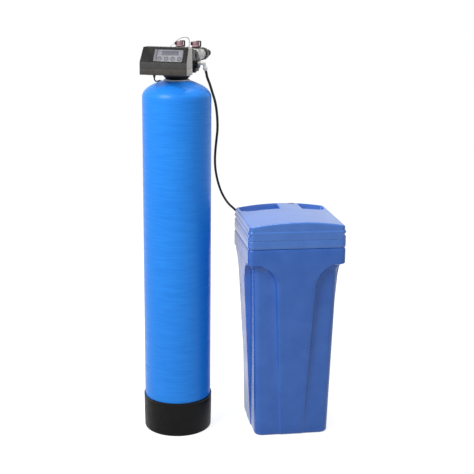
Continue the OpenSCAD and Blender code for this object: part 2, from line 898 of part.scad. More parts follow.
module seal_rings() {
    color([0.08, 0.08, 0.08]) in_head() {
        ring_z(0, 0, neck_seal_z, neck_seal_r, seal_wire);
        ring_y(0, valve_front - bonnet_t / 2, disc_z, shaft_seal_r, seal_wire);
        for (x = [-port_x, port_x], y = [port_end, bypass_end])
            ring_y(x, y - seal_wire, port_z, joint_seal_r, seal_wire);
    }
}

module valve_bonnet() {
    color([0.2, 0.2, 0.21]) in_head() difference() {
        union() {
            bar_y(0, box_back, disc_z, bonnet_r, bonnet_t);
            bar_y(0, valve_front, disc_z, chamber_r - seat, bonnet_plug);
        }
        bar_y(0, box_back - cut, disc_z, shaft_d / 2 + run, bonnet_t + bonnet_plug + 2 * cut);
        bar_y(0, valve_front - bonnet_t / 2 - seal_wire - seal_room, disc_z,
            shaft_seal_r + seal_wire + seal_room, 2 * (seal_wire + seal_room));
        bonnet_screw_places(box_back) screw_hole(bonnet_t + cut);
    }
}

// Four water ways through a ceramic disc
module disc_ports(y) {
    for (a = [45 : 90 : 315])
        bar_y(disc_r / 2 * cos(a), y - cut, disc_z + disc_r / 2 * sin(a), disc_r / 5, disc_t + 2 * cut);
}

module fixed_disc() {
    y = chamber_back - disc_t;
    color("ivory") in_head() difference() {
        bar_y(0, y, disc_z, disc_r, disc_t);
        disc_ports(y);
    }
}

module moving_disc() {
    y = chamber_back - 2 * disc_t - film;
    color("lightgray") in_head() difference() {
        bar_y(0, y, disc_z, disc_r, disc_t);
        disc_ports(y);
        bar_y(0, y - cut, disc_z, shaft_d / 2 + film / 4, disc_t / 2 + cut);
    }
}

module disc_shaft() {
    end = chamber_back - 1.5 * disc_t - 2 * film;
    color("silver") in_head() bar_y(0, gear_front - 2 * cut, disc_z, shaft_d / 2, end - gear_front + 2 * cut);
}

module drive_gear() {
    color("ivory") in_head() difference() {
        union() {
            translate([0, gear_front + gear_w, disc_z]) rotate([90, 0, 0])
                linear_extrude(gear_w) polygon(gear_outline(gear_teeth));
            bar_y(0, gear_front, disc_z, gear_hub_r, gear_w + gear_hub_out);
        }
        bar_y(0, gear_front - cut, disc_z, shaft_d / 2 + film / 4, gear_w + gear_hub_out + 2 * cut);
    }
}

// Places of the two ears that hold the motor
module at_ears() {
    for (s = [-1, 1]) translate([pinion_x + s * ear_reach * cos(mesh_angle + 90), 0,
        pinion_z + s * ear_reach * sin(mesh_angle + 90)]) children();
}

module drive_motor() {
    color("dimgray") in_head() difference() {
        union() {
            bar_y(pinion_x, motor_front - motor_len, pinion_z, motor_r, motor_len + motor_plate);
            at_ears() bar_y(0, motor_front, 0, ear_r, motor_plate);
            translate([pinion_x, motor_front + motor_plate / 2, pinion_z]) rotate([0, -mesh_angle - 90, 0])
                cube([2 * ear_reach, motor_plate, 2 * ear_r], center = true);
        }
        bar_y(pinion_x, motor_front - motor_len / 2, pinion_z, motor_shaft_r + run, motor_len);
    }
}

module motor_pinion() {
    color("ivory") in_head() {
        translate([pinion_x, gear_front + gear_w, pinion_z]) rotate([90, 0, 0])
            linear_extrude(gear_w) polygon(gear_outline(pinion_teeth));
        bar_y(pinion_x, motor_front - motor_len / 2 + seat, pinion_z, motor_shaft_r,
            motor_len / 2 + motor_plate + motor_gap + seat);
    }
}

// Control head box

// Side outline of the box between two depths behind its front, drawn in y and z
module side_outline(front, back, low, high) {
    lean = (high - crease_z) * slope_run / slope_h;
    polygon([
        [front - box_front, low], [front - box_front, crease_z], [front - box_front + lean, high],
        [back, high], [back, low]
    ]);
}

// Draws a side outline across the width of the box
module across_box(w) {
    translate([box_x - w / 2, 0, 0]) rotate([90, 0, 90]) linear_extrude(w) children();
}

// The frame of the sloping face: x to the right, y up the slope, z out of it, from the crease
module on_slope(x, v, depth) {
    translate([box_x, -box_front, crease_z]) rotate([slope_tilt, 0, 0]) translate([x, v, -depth]) children();
}

module corner_posts() {
    for (x = [-1, 1], z = [box_low + corner_inset, box_top - corner_inset])
        translate([box_x + x * (box_w / 2 - corner_inset), 0, z]) children();
}

module back_housing() {
    front = cover_wrap;
    color([0.78, 0.77, 0.74]) in_head() difference() {
        union() {
            difference() {
                across_box(box_w) side_outline(front, box_back, box_low, box_top);
                across_box(box_w - 2 * box_wall) translate([-cut, 0])
                    side_outline(front, housing_inside + cut, box_low + box_wall, box_top - box_wall);
            }
            corner_posts() bar_y(0, housing_inside - screw_len, 0, post_r, screw_len);
            at_ears() bar_y(0, motor_back, 0, ear_post_r, housing_inside - motor_back);
        }
        corner_posts() translate([0, box_back, 0]) rotate([90, 0, 0]) screw_hole(screw_len + cut);
        bar_y(0, housing_inside - cut, disc_z, gear_hub_r, box_wall + 2 * cut);
        bonnet_screw_places(housing_inside) screw_hole(box_wall + cut);
        rod_z(gland_x, gland_y, box_low - cut, gland_end_r + seat, box_wall + 2 * cut);
        translate(cable_start) rod_z(0, 0, -box_wall - cut, cable_d / 2 - film, box_wall + 2 * cut);
    }
}

module front_cover() {
    color([0.25, 0.25, 0.26]) in_head() difference() {
        across_box(box_w) difference() {
            side_outline(0, box_back, box_low, box_top);
            side_outline(cover_wrap, box_back + cut, box_low - cut, box_top + cut);
        }
        across_box(box_w - 2 * box_wall)
            side_outline(box_wall, box_back, box_low + box_wall, box_top - box_wall);
        on_slope(panel_x, panel_v, cover_wrap) translate([-panel_w / 2 - seat, -panel_h / 2 - seat, 0])
            cube([panel_w + 2 * seat, panel_h + 2 * seat, 2 * cover_wrap]);
    }
}

module case_screws() {
    color("silver") in_head() {
        corner_posts() translate([0, box_back, 0]) rotate([90, 0, 0]) screw();
        bonnet_screw_places(housing_inside) screw();
        for (y = [-1, 1]) injector_screw_place(y) screw();
    }
}

module button_place(i) {
    on_slope(panel_x + (i - (len(button_names) - 1) / 2) * button_pitch, button_v, 0) children();
}

module display_panel() {
    rim = panel_flange;
    color([0.59, 0.59, 0.64]) in_head() difference() {
        union() {
            on_slope(panel_x - panel_w / 2, panel_v - panel_h / 2, flange_in)
                cube([panel_w, panel_h, flange_in - panel_sink]);
            on_slope(panel_x - panel_w / 2 - rim, panel_v - panel_h / 2 - rim, flange_in)
                cube([panel_w + 2 * rim, panel_h + 2 * rim, flange_t - film]);
            for (x = [-1, 1], y = [-1, 1])
                on_slope(panel_x + x * (panel_w / 2 - panel_post_in),
                    panel_v + y * (panel_h / 2 - panel_post_in), board_in)
                    cylinder(r = panel_flange, h = board_in - flange_in + cut);
        }
        on_slope(panel_x - lcd_w / 2, lcd_v - lcd_h / 2, board_in) cube([lcd_w, lcd_h, board_in + cut]);
        for (i = [0 : len(button_names) - 1])
            button_place(i) translate([0, 0, -board_in])
                cylinder(r = button_d / 2 + seat, h = board_in + cut);
    }
}

module lcd_window() {
    w = lcd_w - 2 * film;
    h = lcd_h - 2 * film;
    color([0.45, 0.5, 0.45]) in_head() on_slope(panel_x - w / 2, lcd_v - h / 2, board_in)
        cube([w, h, board_in - panel_sink - lcd_sink]);
}

module circuit_board() {
    color("darkgreen") in_head() {
        on_slope(panel_x - panel_w / 2, panel_v - panel_h / 2, board_in + board_t)
            cube([panel_w, panel_h, board_t]);
        for (i = [0 : len(button_names) - 1]) button_place(i)
            translate([-switch_w / 2, -switch_w / 2, -board_in]) cube([switch_w, switch_w, switch_h]);
    }
}

// A button: a cap in the panel, a flange behind it and a stem that reaches for its switch
module panel_button(i) {
    flange_top = -flange_in - seat;
    color([0.52, 0.52, 0.57]) in_head() button_place(i) {
        translate([0, 0, flange_top - cut])
            cylinder(r = button_d / 2, h = button_proud - panel_sink - flange_top + cut);
        translate([0, 0, flange_top - button_flange_t])
            cylinder(r = button_d / 2 + button_flange, h = button_flange_t);
        translate([0, 0, -board_in + switch_h + button_travel + loose])
            cylinder(r = button_stem_r, h = board_in - flange_in - switch_h - button_travel - loose);
    }
}

module menu_button() { panel_button(0); }

module down_button() { panel_button(1); }

module up_button() { panel_button(2); }

module enter_button() { panel_button(3); }

module power_gland() {
    color([0.1, 0.1, 0.1]) in_head() translate([gland_x, gland_y, 0]) {
        translate([0, 0, box_low - gland_len]) cylinder(r1 = gland_end_r, r2 = gland_top_r, h = gland_len);
        translate([0, 0, box_low]) cylinder(r = gland_end_r, h = box_wall);
    }
}

// Injector, drain and brine elbow

module injector_cap() {
    color([0.1, 0.1, 0.1]) in_head() difference() {
        bar_x(injector_end, injector_y, injector_z, injector_r + injector_cap_lip, injector_cap_t);
        bar_x(injector_end - cut, injector_y, injector_z, elbow_r + film, injector_cap_t + 2 * cut);
        for (y = [-1, 1]) injector_screw_place(y) screw_hole(injector_cap_t + cut);
    }
}

module injector_nozzle() {
    r = injector_bore_r - film;
    color("white") in_head() translate([injector_root + film, injector_y, injector_z]) rotate([0, 90, 0])
        difference() {
            cylinder(r = r, h = injector_end - injector_root - 2 * film);
            translate([0, 0, -cut]) cylinder(r1 = r / 4, r2 = r / 2, h = injector_end - injector_root + cut);
        }
}

module drain_elbow() {
    color([0.1, 0.1, 0.1]) in_head() difference() {
        union() {
            rod_z(drain_x, injector_y, drain_low, drain_r + drain_wall, drain_seat - drain_low);
            bar_y(drain_x, injector_y, drain_z, drain_r, drain_out);
            bar_y(drain_x, collar_start, drain_z, drain_r + drain_lip, drain_collar);
        }
        rod_z(drain_x, injector_y, drain_z, drain_way_r, drain_seat - drain_z + cut);
        bar_y(drain_x, injector_y - drain_r, drain_z, drain_r - drain_wall, drain_out + drain_r + cut);
    }
}

// The frame of the brine elbow's leg, with z down the leg
module on_leg(len) {
    translate([elbow_x, injector_y, injector_z]) rotate([0, 180 - elbow_tilt, 0])
        translate([0, 0, len]) children();
}

module brine_elbow() {
    color("white") in_head() {
        bar_x(injector_end, injector_y, injector_z, elbow_r, elbow_x - injector_end);
        translate([elbow_x, injector_y, injector_z]) sphere(r = elbow_r + elbow_bulge);
        on_leg(0) cylinder(r = elbow_r, h = elbow_leg);
    }
}

// A compression nut that grips the brine line, with its flats all round
module tube_nut() {
    cylinder(r = tube_nut_r, h = tube_nut_flats, $fn = 12);
    cylinder(r = line_d / 2 + tube_nut_lip, h = tube_nut_len);
}

module tube_nuts() {
    color("white") {
        in_head() on_leg(elbow_leg) tube_nut();
        in_brine() translate([-fitting_x, pad_y + fitting_reach, fitting_z + wall_leg]) tube_nut();
    }
}

// Flow meter

module flow_turbine() {
    color("white") in_head() translate([port_x, turbine_y, port_z]) rotate([-90, 0, 0]) difference() {
        union() {
            cylinder(r = turbine_hub_r, h = turbine_len);
            for (i = [0 : turbine_blades - 1]) rotate([0, 0, 360 * i / turbine_blades])
                translate([turbine_hub_r - cut, -blade_t / 2, 0])
                    cube([turbine_r - turbine_hub_r + cut - film, blade_t, turbine_len]);
        }
        translate([0, 0, -cut]) cylinder(r = axle_r + run, h = turbine_len + 2 * cut);
    }
}

module turbine_axle() {
    spider_y = turbine_y + turbine_len + seat;
    color("silver") in_head() {
        bar_y(port_x, turbine_y - seat, port_z, axle_r, turbine_len + 2 * seat + spider_t / 2);
        for (a = [0, 90]) translate([port_x, spider_y + spider_t / 2, port_z]) rotate([0, a, 0])
            cube([port_bore - 2 * film, spider_t, 2 * axle_r], center = true);
    }
}

module meter_cable() {
    color("gainsboro") in_head() {
        swept_tube(cable_path, cable_d, tube_sides);
        rod_z(cable_end[0], cable_end[1], probe_low + seat, probe_r, probe_top - probe_low - seat);
    }
}

// Bypass, coupling nuts and pipe tails

module bypass_body() {
    body_y = port_end + joint_neck;
    color([0.16, 0.16, 0.17]) in_head() difference() {
        union() {
            for (x = [-port_x, port_x]) {
                bar_y(x, port_end, port_z, joint_flange_r, joint_flange);
                bar_y(x, port_end, port_z, tail_d / 2, joint_neck + cut);
                bar_y(x, body_y, port_z, port_r, bypass_end - body_y);
                rod_z(x, rotor_y, boss_low, rotor_r + rotor_wall, rotor_high - boss_low);
            }
            bar_x(-port_x, rotor_y, port_z, cross_r, port_pitch);
        }
        for (x = [-port_x, port_x]) {
            bar_y(x, port_end - cut, port_z, tail_bore_r, bypass_len + 2 * cut);
            rod_z(x, rotor_y, rotor_low, rotor_r + run, rotor_high);
            seal_groove_y(x, bypass_end, port_z);
        }
        bar_x(-port_x, rotor_y, port_z, cross_hole_r, port_pitch);
    }
}

module bypass_rotor(x) {
    color("ivory") in_head() difference() {
        union() {
            rod_z(x, rotor_y, rotor_low + film, rotor_r, rotor_high - rotor_low - 2 * film);
            rod_z(x, rotor_y, rotor_high - cut, stem_r, handle_z - rotor_high + handle_h / 2);
        }
        bar_y(x, rotor_y - rotor_d, port_z, rotor_hole_r, 2 * rotor_d);
    }
}

module inlet_rotor() { bypass_rotor(-port_x); }

module outlet_rotor() { bypass_rotor(port_x); }

// A handle: a round grip with a thumb block on one side and a lever that arches down on the other
module bypass_handle(x) {
    reach = handle_d / 2;
    color([0.72, 0.16, 0.16]) in_head() translate([x, rotor_y, handle_z]) difference() {
        union() {
            cylinder(r = reach - handle_bar / 2, h = handle_skirt);
            cylinder(r = handle_grip_r, h = handle_h - lever_t / 2);
            translate([-reach, -handle_bar / 2, handle_skirt])
                cube([reach, handle_bar, handle_h - handle_skirt - lever_t]);
            translate([0, -handle_bar / 2, handle_h - lever_t]) cube([reach, handle_bar, lever_t]);
            translate([reach - lever_t, -handle_bar / 2, 0]) cube([lever_t, handle_bar, handle_h]);
        }
        translate([0, 0, -cut]) cylinder(r = stem_r + film / 4, h = handle_h / 2 + film);
    }
}

module inlet_handle() { bypass_handle(-port_x); }

module outlet_handle() { bypass_handle(port_x); }

module rotor_caps() {
    color([0.2, 0.2, 0.21]) in_head() for (x = [-port_x, port_x]) difference() {
        rod_z(x, rotor_y, rotor_high, rotor_r + rotor_wall, cap_t);
        rod_z(x, rotor_y, rotor_high - cut, stem_r + run, cap_t + 2 * cut);
    }
}

// A ribbed nut that draws a flange against a threaded port end at y
module coupling_nut(x, y) {
    inside = port_r + seat;
    outside = inside + nut_over;
    difference() {
        union() {
            bar_y(x, y - nut_front, port_z, outside, nut_front + nut_back);
            for (i = [0 : nut_ribs - 1]) let (a = 360 * i / nut_ribs)
                bar_y(x + outside * cos(a), y - nut_front + cut, port_z + outside * sin(a),
                    nut_rib_r, nut_front + nut_back - 2 * cut, $fn = 16);
        }
        bar_y(x, y - nut_front - cut, port_z, inside, nut_front + joint_flange + seat + cut);
        bar_y(x, y, port_z, tail_d / 2 + seat, nut_back + cut);
    }
}

module coupling_nuts() {
    color([0.12, 0.12, 0.12]) in_head()
        for (x = [-port_x, port_x], y = [port_end, bypass_end]) coupling_nut(x, y);
}

module pipe_tails() {
    color([0.1, 0.1, 0.1]) in_head() for (x = [-port_x, port_x]) difference() {
        union() {
            bar_y(x, bypass_end, port_z, joint_flange_r, joint_flange);
            bar_y(x, bypass_end, port_z, tail_d / 2 - tail_relief, tail_len);
            bar_y(x, thread_start, port_z, tail_d / 2, tail_end - thread_start);
        }
        bar_y(x, bypass_end - cut, port_z, tail_bore_r, tail_len + 2 * cut);
    }
}

// Brine tank

// Raised panels on the four sides, drawn in by the inset
module tie_panels(inset) {
    edge = tie_edge(inset);
    outline = concat(edge, [for (i = [len(edge) - 1 : -1 : 0]) [-edge[i][0], edge[i][1]]]);
    intersection() {
        hull() {
            round_plate(tie_plane(0) - foot_edge_h, tie_foot, inset, plate_t);
            round_plate(tie_plane(foot_edge_h) - inset, tie_foot, foot_edge_h + inset, plate_t);
            round_plate(rim_half - inset, tie_foot, tie_top_z - plate_t, plate_t);
        }
        union() {
            plate_y(-rim_half, rim_w) polygon(outline);
            rotate([0, 0, 90]) plate_y(-rim_half, rim_w) polygon(outline);
        }
    }
}

// The tub's solid form, drawn in by the inset
module tub_form(inset) {
    foot_half = foot_w / 2 - inset;
    waist_half = waist_w / 2 - inset;
    top_half = inset > 0 ? lip_half - inset : rim_half;
    hull() {
        round_plate(foot_half - foot_edge_h + inset, waist_round - foot_edge_h, inset, plate_t, $fn = 32);
        round_plate(foot_half, waist_round, foot_edge_h + inset, plate_t, $fn = 32);
        round_plate(waist_half, waist_round, band_z - plate_t, plate_t, $fn = 32);
    }
    tie_panels(inset);
    loft(waist_half, waist_round, band_z - flare_h, top_half, rim_round, band_z + plate_t);
}

module wall_pad(x) { bar_y(x, pad_in, fitting_z, pad_r, pad_t); }

module brine_tank() {
    color([0.25, 0.4, 0.69]) in_brine() difference() {
        union() {
            difference() {
                union() {
                    tub_form(0);
                    round_plate(rim_half, rim_round, band_z, rim_z - band_z);
                    round_plate(lip_half, rim_round, band_z, lip_top - band_z);
                }
                tub_form(tub_wall);
                round_plate(lip_half - tub_wall, rim_round - tub_wall, band_z, lip_top);
            }
            for (x = [-fitting_x, fitting_x]) wall_pad(x);
        }
        for (x = [-fitting_x, fitting_x])
            bar_y(x, pad_in - cut, fitting_z, fitting_r + seat, pad_t + 2 * cut);
    }
}

// The lid's arched top as a solid of the half-width given, lowered by the inset
module arch_block(half, r, low, inset) {
    intersection() {
        round_plate(half, r, low, crown_z - low);
        plate_y(-rim_half, rim_w) intersection() {
            translate([0, arch_z]) circle(r = arch_r - inset, $fn = 360);
            translate([-rim_half, low]) square([rim_w, crown_z - low]);
        }
    }
}

// A grip pocket between two places across the lid, grown by the wall
module grip_pocket(span, grow) {
    w = span[1] - span[0] + 2 * grow;
    translate([span[0] - grow, 0, 0]) rotate([90, 0, 90]) linear_extrude(w) polygon([
        [pocket_front - grow, pocket_lip - grow], [pocket_back + grow, pocket_low - grow],
        [pocket_back + grow, crown_z + cut], [pocket_front - grow, crown_z + cut]
    ]);
}

module lid_shell() {
    difference() {
        union() {
            round_plate(rim_half, rim_round, lid_low, ledge_z - lid_low);
            arch_block(arch_half, rim_round - ledge_step, ledge_z - cut, 0);
        }
        translate([0, 0, rim_z + groove_h - groove_t / 2]) linear_extrude(groove_t) difference() {
            square(2 * rim_w, center = true);
            round_square(rim_half - groove_deep, rim_round);
        }
    }
}

module brine_lid() {
    inside = arch_half - lid_wall;
    color([0.29, 0.46, 0.77]) in_brine() difference() {
        union() {
            difference() {
                lid_shell();
                arch_block(inside, rim_round - ledge_step - lid_wall, rim_z - cut, lid_wall);
            }
            intersection() {
                arch_block(arch_half, rim_round - ledge_step, rim_z, 0);
                union() {
                    grip_pocket(pocket_left, lid_wall);
                    grip_pocket(pocket_right, lid_wall);
                }
            }
        }
        grip_pocket(pocket_left, 0);
        grip_pocket(pocket_right, 0);
        translate([plate_x - plate_w / 2 - seat, plate_y - plate_d / 2 - seat, plate_seat_z])
            cube([plate_w + 2 * seat, plate_d + 2 * seat, plate_h + arch_rise]);
    }
}

module lid_plate() {
    color([0.35, 0.36, 0.38]) in_brine() translate([plate_x, plate_y, plate_seat_z + plate_h / 2])
        cube([plate_w, plate_d, plate_h], center = true);
}

// Inside the brine tank

module salt_grid() {
    count = floor(grid_half / grid_step);
    color("whitesmoke") in_brine() {
        translate([0, 0, grid_z - grid_t]) linear_extrude(grid_t) difference() {
            round_square(grid_half, waist_round);
            for (x = [-count : count], y = [-count : count])
                if (norm([x * grid_step - well_x, y * grid_step - well_y]) > well_r + 2 * grid_hole_r
                    && abs(x) + abs(y) < 2 * count - 1)
                    translate([x, y] * grid_step) circle(r = grid_hole_r, $fn = 24);
            translate([well_x, well_y]) circle(r = well_r + cut);
        }
        for (x = [-1, 1], y = [-1, 1]) translate([x, y, 0] * (grid_half - waist_round))
            if (x > 0 || y < 0) rod_z(0, 0, tub_wall + seat, grid_leg_r, grid_z - grid_t - tub_wall - seat);
    }
}

module brine_well() {
    low = tub_wall + seat;
    color("whitesmoke") in_brine() translate([well_x, well_y, 0]) difference() {
        rod_z(0, 0, low, well_r, well_top - low);
        rod_z(0, 0, low - cut, well_r - well_wall, well_top);
        for (a = [0 : 90 : 270]) rotate([0, 0, a]) bar_x(0, 0, well_hole_z, well_hole_r, well_r + cut);
        bar_y(0, 0, fitting_z, line_d / 2 + cut, well_r + cut);
    }
}

module well_cap() {
    color("whitesmoke") in_brine() translate([well_x, well_y, 0]) difference() {
        rod_z(0, 0, well_top - cap_lap, well_r + cap_over, cap_lap + cap_top);
        rod_z(0, 0, well_top - cap_lap - cut, well_r + seat, cap_lap + cut);
    }
}

// The valve at the top of the well, its down tube, the rod guide and the air check at the bottom
module float_valve() {
    check_top = check_low + check_h;
    color("whitesmoke") in_brine() translate([well_x, well_y, 0]) difference() {
        union() {
            rod_z(0, 0, fitting_z - valve_drop, valve_r, valve_drop + valve_rise);
            rod_z(0, 0, check_top - cut, stem_tube_r, fitting_z - valve_drop - check_top + 2 * cut);
            rod_z(0, 0, check_low, check_r, check_h);
            bar_y(0, 0, fitting_z, line_d / 2, pad_in - well_y - wall_nut_t);
            rod_z(rod_x, 0, guide_z, stop_r, guide_t);
            translate([0, -stop_r / 2, guide_z]) cube([rod_x, stop_r, guide_t]);
        }
        rod_z(0, 0, check_low + check_wall, check_r - check_wall, check_h - 2 * check_wall);
        rod_z(0, 0, check_low - cut, ball_seat_r, check_wall + 2 * cut);
        rod_z(0, 0, check_low, stem_tube_r - stem_tube_wall, fitting_z - check_low);
        for (a = [45 : 90 : 315]) rotate([0, 0, a])
            bar_x(0, 0, check_top - check_h / 3, well_hole_r, check_r + cut);
        rod_z(rod_x, 0, guide_z - cut, rod_r + run, guide_t + 2 * cut);
    }
}

module brine_float() {
    color("khaki") in_brine() translate([well_x, well_y, 0]) difference() {
        union() {
            rod_z(0, 0, float_z, float_d / 2, float_h);
            rod_z(rod_x, 0, float_z + cut, rod_r, guide_z + guide_t + stop_t - float_z);
            rod_z(rod_x, 0, guide_z + guide_t + film, stop_r, stop_t);
            rod_z(rod_x, 0, guide_z - float_travel - stop_t - film, stop_r, stop_t);
        }
        rod_z(0, 0, float_z - cut, stem_tube_r + loose, float_h + 2 * cut);
    }
}

module check_ball() { color("ivory") in_brine() translate([well_x, well_y, ball_z]) sphere(r = ball_r); }

module wall_elbow() {
    color("white") in_brine() difference() {
        union() {
            bar_y(-fitting_x, pad_in - wall_nut_t, fitting_z, fitting_r, pad_t + fitting_reach + wall_nut_t);
            bar_y(-fitting_x, pad_y, fitting_z, fitting_flange, joint_flange);
            translate([-fitting_x, pad_y + fitting_reach, fitting_z]) sphere(r = fitting_r + elbow_bulge);
            rod_z(-fitting_x, pad_y + fitting_reach, fitting_z, fitting_r, wall_leg);
        }
        bar_y(-fitting_x, pad_in - wall_nut_t - cut, fitting_z, line_d / 2 - stem_tube_wall,
            pad_t + fitting_reach);
    }
}

module overflow_elbow() {
    color("white") in_brine() difference() {
        union() {
            bar_y(fitting_x, pad_in - wall_nut_t, fitting_z, fitting_r, pad_t + fitting_reach + wall_nut_t);
            bar_y(fitting_x, pad_y, fitting_z, fitting_flange, joint_flange);
            translate([fitting_x, pad_y + fitting_reach, fitting_z]) sphere(r = fitting_r + elbow_bulge);
            rod_z(fitting_x, pad_y + fitting_reach, fitting_z - drain_out, drain_r, drain_out);
            rod_z(fitting_x, pad_y + fitting_reach, fitting_z - overflow_seat, fitting_r + drain_lip,
                overflow_collar);
        }
        bar_y(fitting_x, pad_in - wall_nut_t - cut, fitting_z, drain_r - drain_wall, pad_t + fitting_reach);
        rod_z(fitting_x, pad_y + fitting_reach, fitting_z - drain_out - cut, drain_r - drain_wall, drain_out);
    }
}

module wall_nuts() {
    color("white") in_brine() for (x = [-fitting_x, fitting_x]) difference() {
        translate([x, pad_in - wall_nut_t, fitting_z]) rotate([-90, 0, 0])
            cylinder(r = fitting_flange, h = wall_nut_t, $fn = 6);
        bar_y(x, pad_in - wall_nut_t - cut, fitting_z, fitting_r + film, wall_nut_t + 2 * cut);
    }
}

// Cords

module brine_line() { color([0.06, 0.06, 0.06]) swept_tube(line_path, line_d, line_sides); }

module power_lead() { color([0.07, 0.07, 0.07]) swept_tube(lead_path, lead_d, tube_sides); }

module lead_coil() { color([0.07, 0.07, 0.07]) swept_tube(coil_all, lead_d, coil_sides); }

module coil_tie() {
    near = coil_in_r - lead_d / 2 - cut;
    far = coil_out_r + lead_d / 2 + seat;
    high = coil_z + coil_step + lead_d / 2 + loose;
    color([0.12, 0.12, 0.12]) translate([coil_x - tie_w / 2, coil_y, 0]) rotate([90, 0, 90])
        linear_extrude(tie_w) difference() {
            translate([near - tie_t, 0]) square([far - near + 2 * tie_t, high + tie_t]);
            translate([near, tie_t]) square([far - near, high - tie_t]);
        }
}

module plug_adapter() {
    x = coil_finish[0];
    y = coil_finish[1] - relief_l;
    color([0.09, 0.09, 0.09]) {
        translate([x, coil_finish[1], coil_finish[2]]) rotate([90, 0, 0])
            cylinder(r1 = lead_d / 2 + relief_lip, r2 = lead_d, h = relief_l);
        translate([x - adapter_w / 2, y - adapter_l, 0]) cube([adapter_w, adapter_l, adapter_h]);
        for (s = [-1, 1]) bar_y(x + s * pin_pitch / 2, y - adapter_l - pin_l, adapter_h / 2, pin_r, pin_l);
    }
}

resin_tank();
tank_boot();
neck_collar();
riser_tube();
bottom_strainer();
top_strainer();
resin_bed();
valve_body();
seal_rings();
valve_bonnet();
fixed_disc();
moving_disc();
disc_shaft();
drive_gear();
drive_motor();
motor_pinion();
back_housing();
front_cover();
case_screws();
display_panel();
lcd_window();
circuit_board();
menu_button();
down_button();
up_button();
enter_button();
power_gland();
injector_cap();
injector_nozzle();
drain_elbow();
brine_elbow();
tube_nuts();
flow_turbine();
turbine_axle();
meter_cable();
bypass_body();
inlet_rotor();
outlet_rotor();
inlet_handle();
outlet_handle();
rotor_caps();
coupling_nuts();
pipe_tails();
brine_tank();
brine_lid();
lid_plate();
salt_grid();
brine_well();
well_cap();
float_valve();
brine_float();
check_ball();
wall_elbow();
overflow_elbow();
wall_nuts();
brine_line();
power_lead();
lead_coil();
coil_tie();
plug_adapter();
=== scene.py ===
"""Water softener: a wound resin tank with its control head, and a moulded brine tank beside it.

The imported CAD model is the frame. Each class builds and dresses the visible pieces of one sub-assembly over it.
Sizes are in millimetres until a mesh is made.
"""

import logging
import math
from dataclasses import dataclass
from enum import Enum
from typing import Callable, Iterable, Sequence

import bmesh
import bpy
from mathutils import Matrix, Vector


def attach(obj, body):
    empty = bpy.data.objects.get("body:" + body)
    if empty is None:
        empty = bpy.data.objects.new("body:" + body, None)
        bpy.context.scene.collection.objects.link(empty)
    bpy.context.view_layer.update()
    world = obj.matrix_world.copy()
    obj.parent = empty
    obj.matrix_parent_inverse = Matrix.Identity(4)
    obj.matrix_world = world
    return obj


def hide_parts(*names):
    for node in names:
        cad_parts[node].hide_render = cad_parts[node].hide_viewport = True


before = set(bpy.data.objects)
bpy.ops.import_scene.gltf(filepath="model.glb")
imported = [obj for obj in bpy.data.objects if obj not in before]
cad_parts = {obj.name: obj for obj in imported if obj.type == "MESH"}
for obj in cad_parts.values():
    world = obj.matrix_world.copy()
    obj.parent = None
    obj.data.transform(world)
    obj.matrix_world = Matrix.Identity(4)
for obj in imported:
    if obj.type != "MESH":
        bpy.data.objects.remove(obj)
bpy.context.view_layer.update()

LOG = logging.getLogger("water_softener")
MM = 0.001
HEAD_TURN = -17.0
BRINE_TURN = 8.8
BRINE_AT = (426.0, 44.0, 0.0)

Point = tuple[float, float, float]
Profile = list[tuple[float, float]]


class Body(Enum):
    """Bodies of the frame that pieces ride on."""

    ROOT = "root"
    LID = "lid"
    MENU = "menu_key"
    DOWN = "down_key"
    UP = "up_key"
    ENTER = "enter_key"
    INLET = "inlet_bypass"
    OUTLET = "outlet_bypass"


class Relief(Enum):
    """How the fine height of a surface is drawn."""

    GRAIN = "grain"
    BEADS = "beads"


# Finishes


def linear(colour: str) -> tuple[float, float, float, float]:
    """Turn an sRGB hex colour into linear light.

    Args:
        colour: six hex digits, with or without a leading #.

    Returns:
        Red, green, blue and a full alpha.
    """
    digits = colour.lstrip("#")
    parts = [int(digits[i:i + 2], 16) / 255 for i in (0, 2, 4)]
    return tuple(c / 12.92 if c <= 0.04045 else ((c + 0.055) / 1.055) ** 2.4 for c in parts) + (1.0,)


def add_node(tree: bpy.types.NodeTree, kind: str, inputs: dict, **settings) -> bpy.types.Node:
    """Add a shader node with its settings, values and links.

    Args:
        tree: the node tree it goes into.
        kind: the node's class.
        inputs: input names with a value, or a socket to link from.
        settings: the node's own properties.

    Returns:
        The new node.
    """
    node = tree.nodes.new(kind)
    for key, value in settings.items():
        setattr(node, key, value)
    for key, value in inputs.items():
        if isinstance(value, bpy.types.NodeSocket):
            tree.links.new(value, node.inputs[key])
        else:
            node.inputs[key].default_value = value
    return node


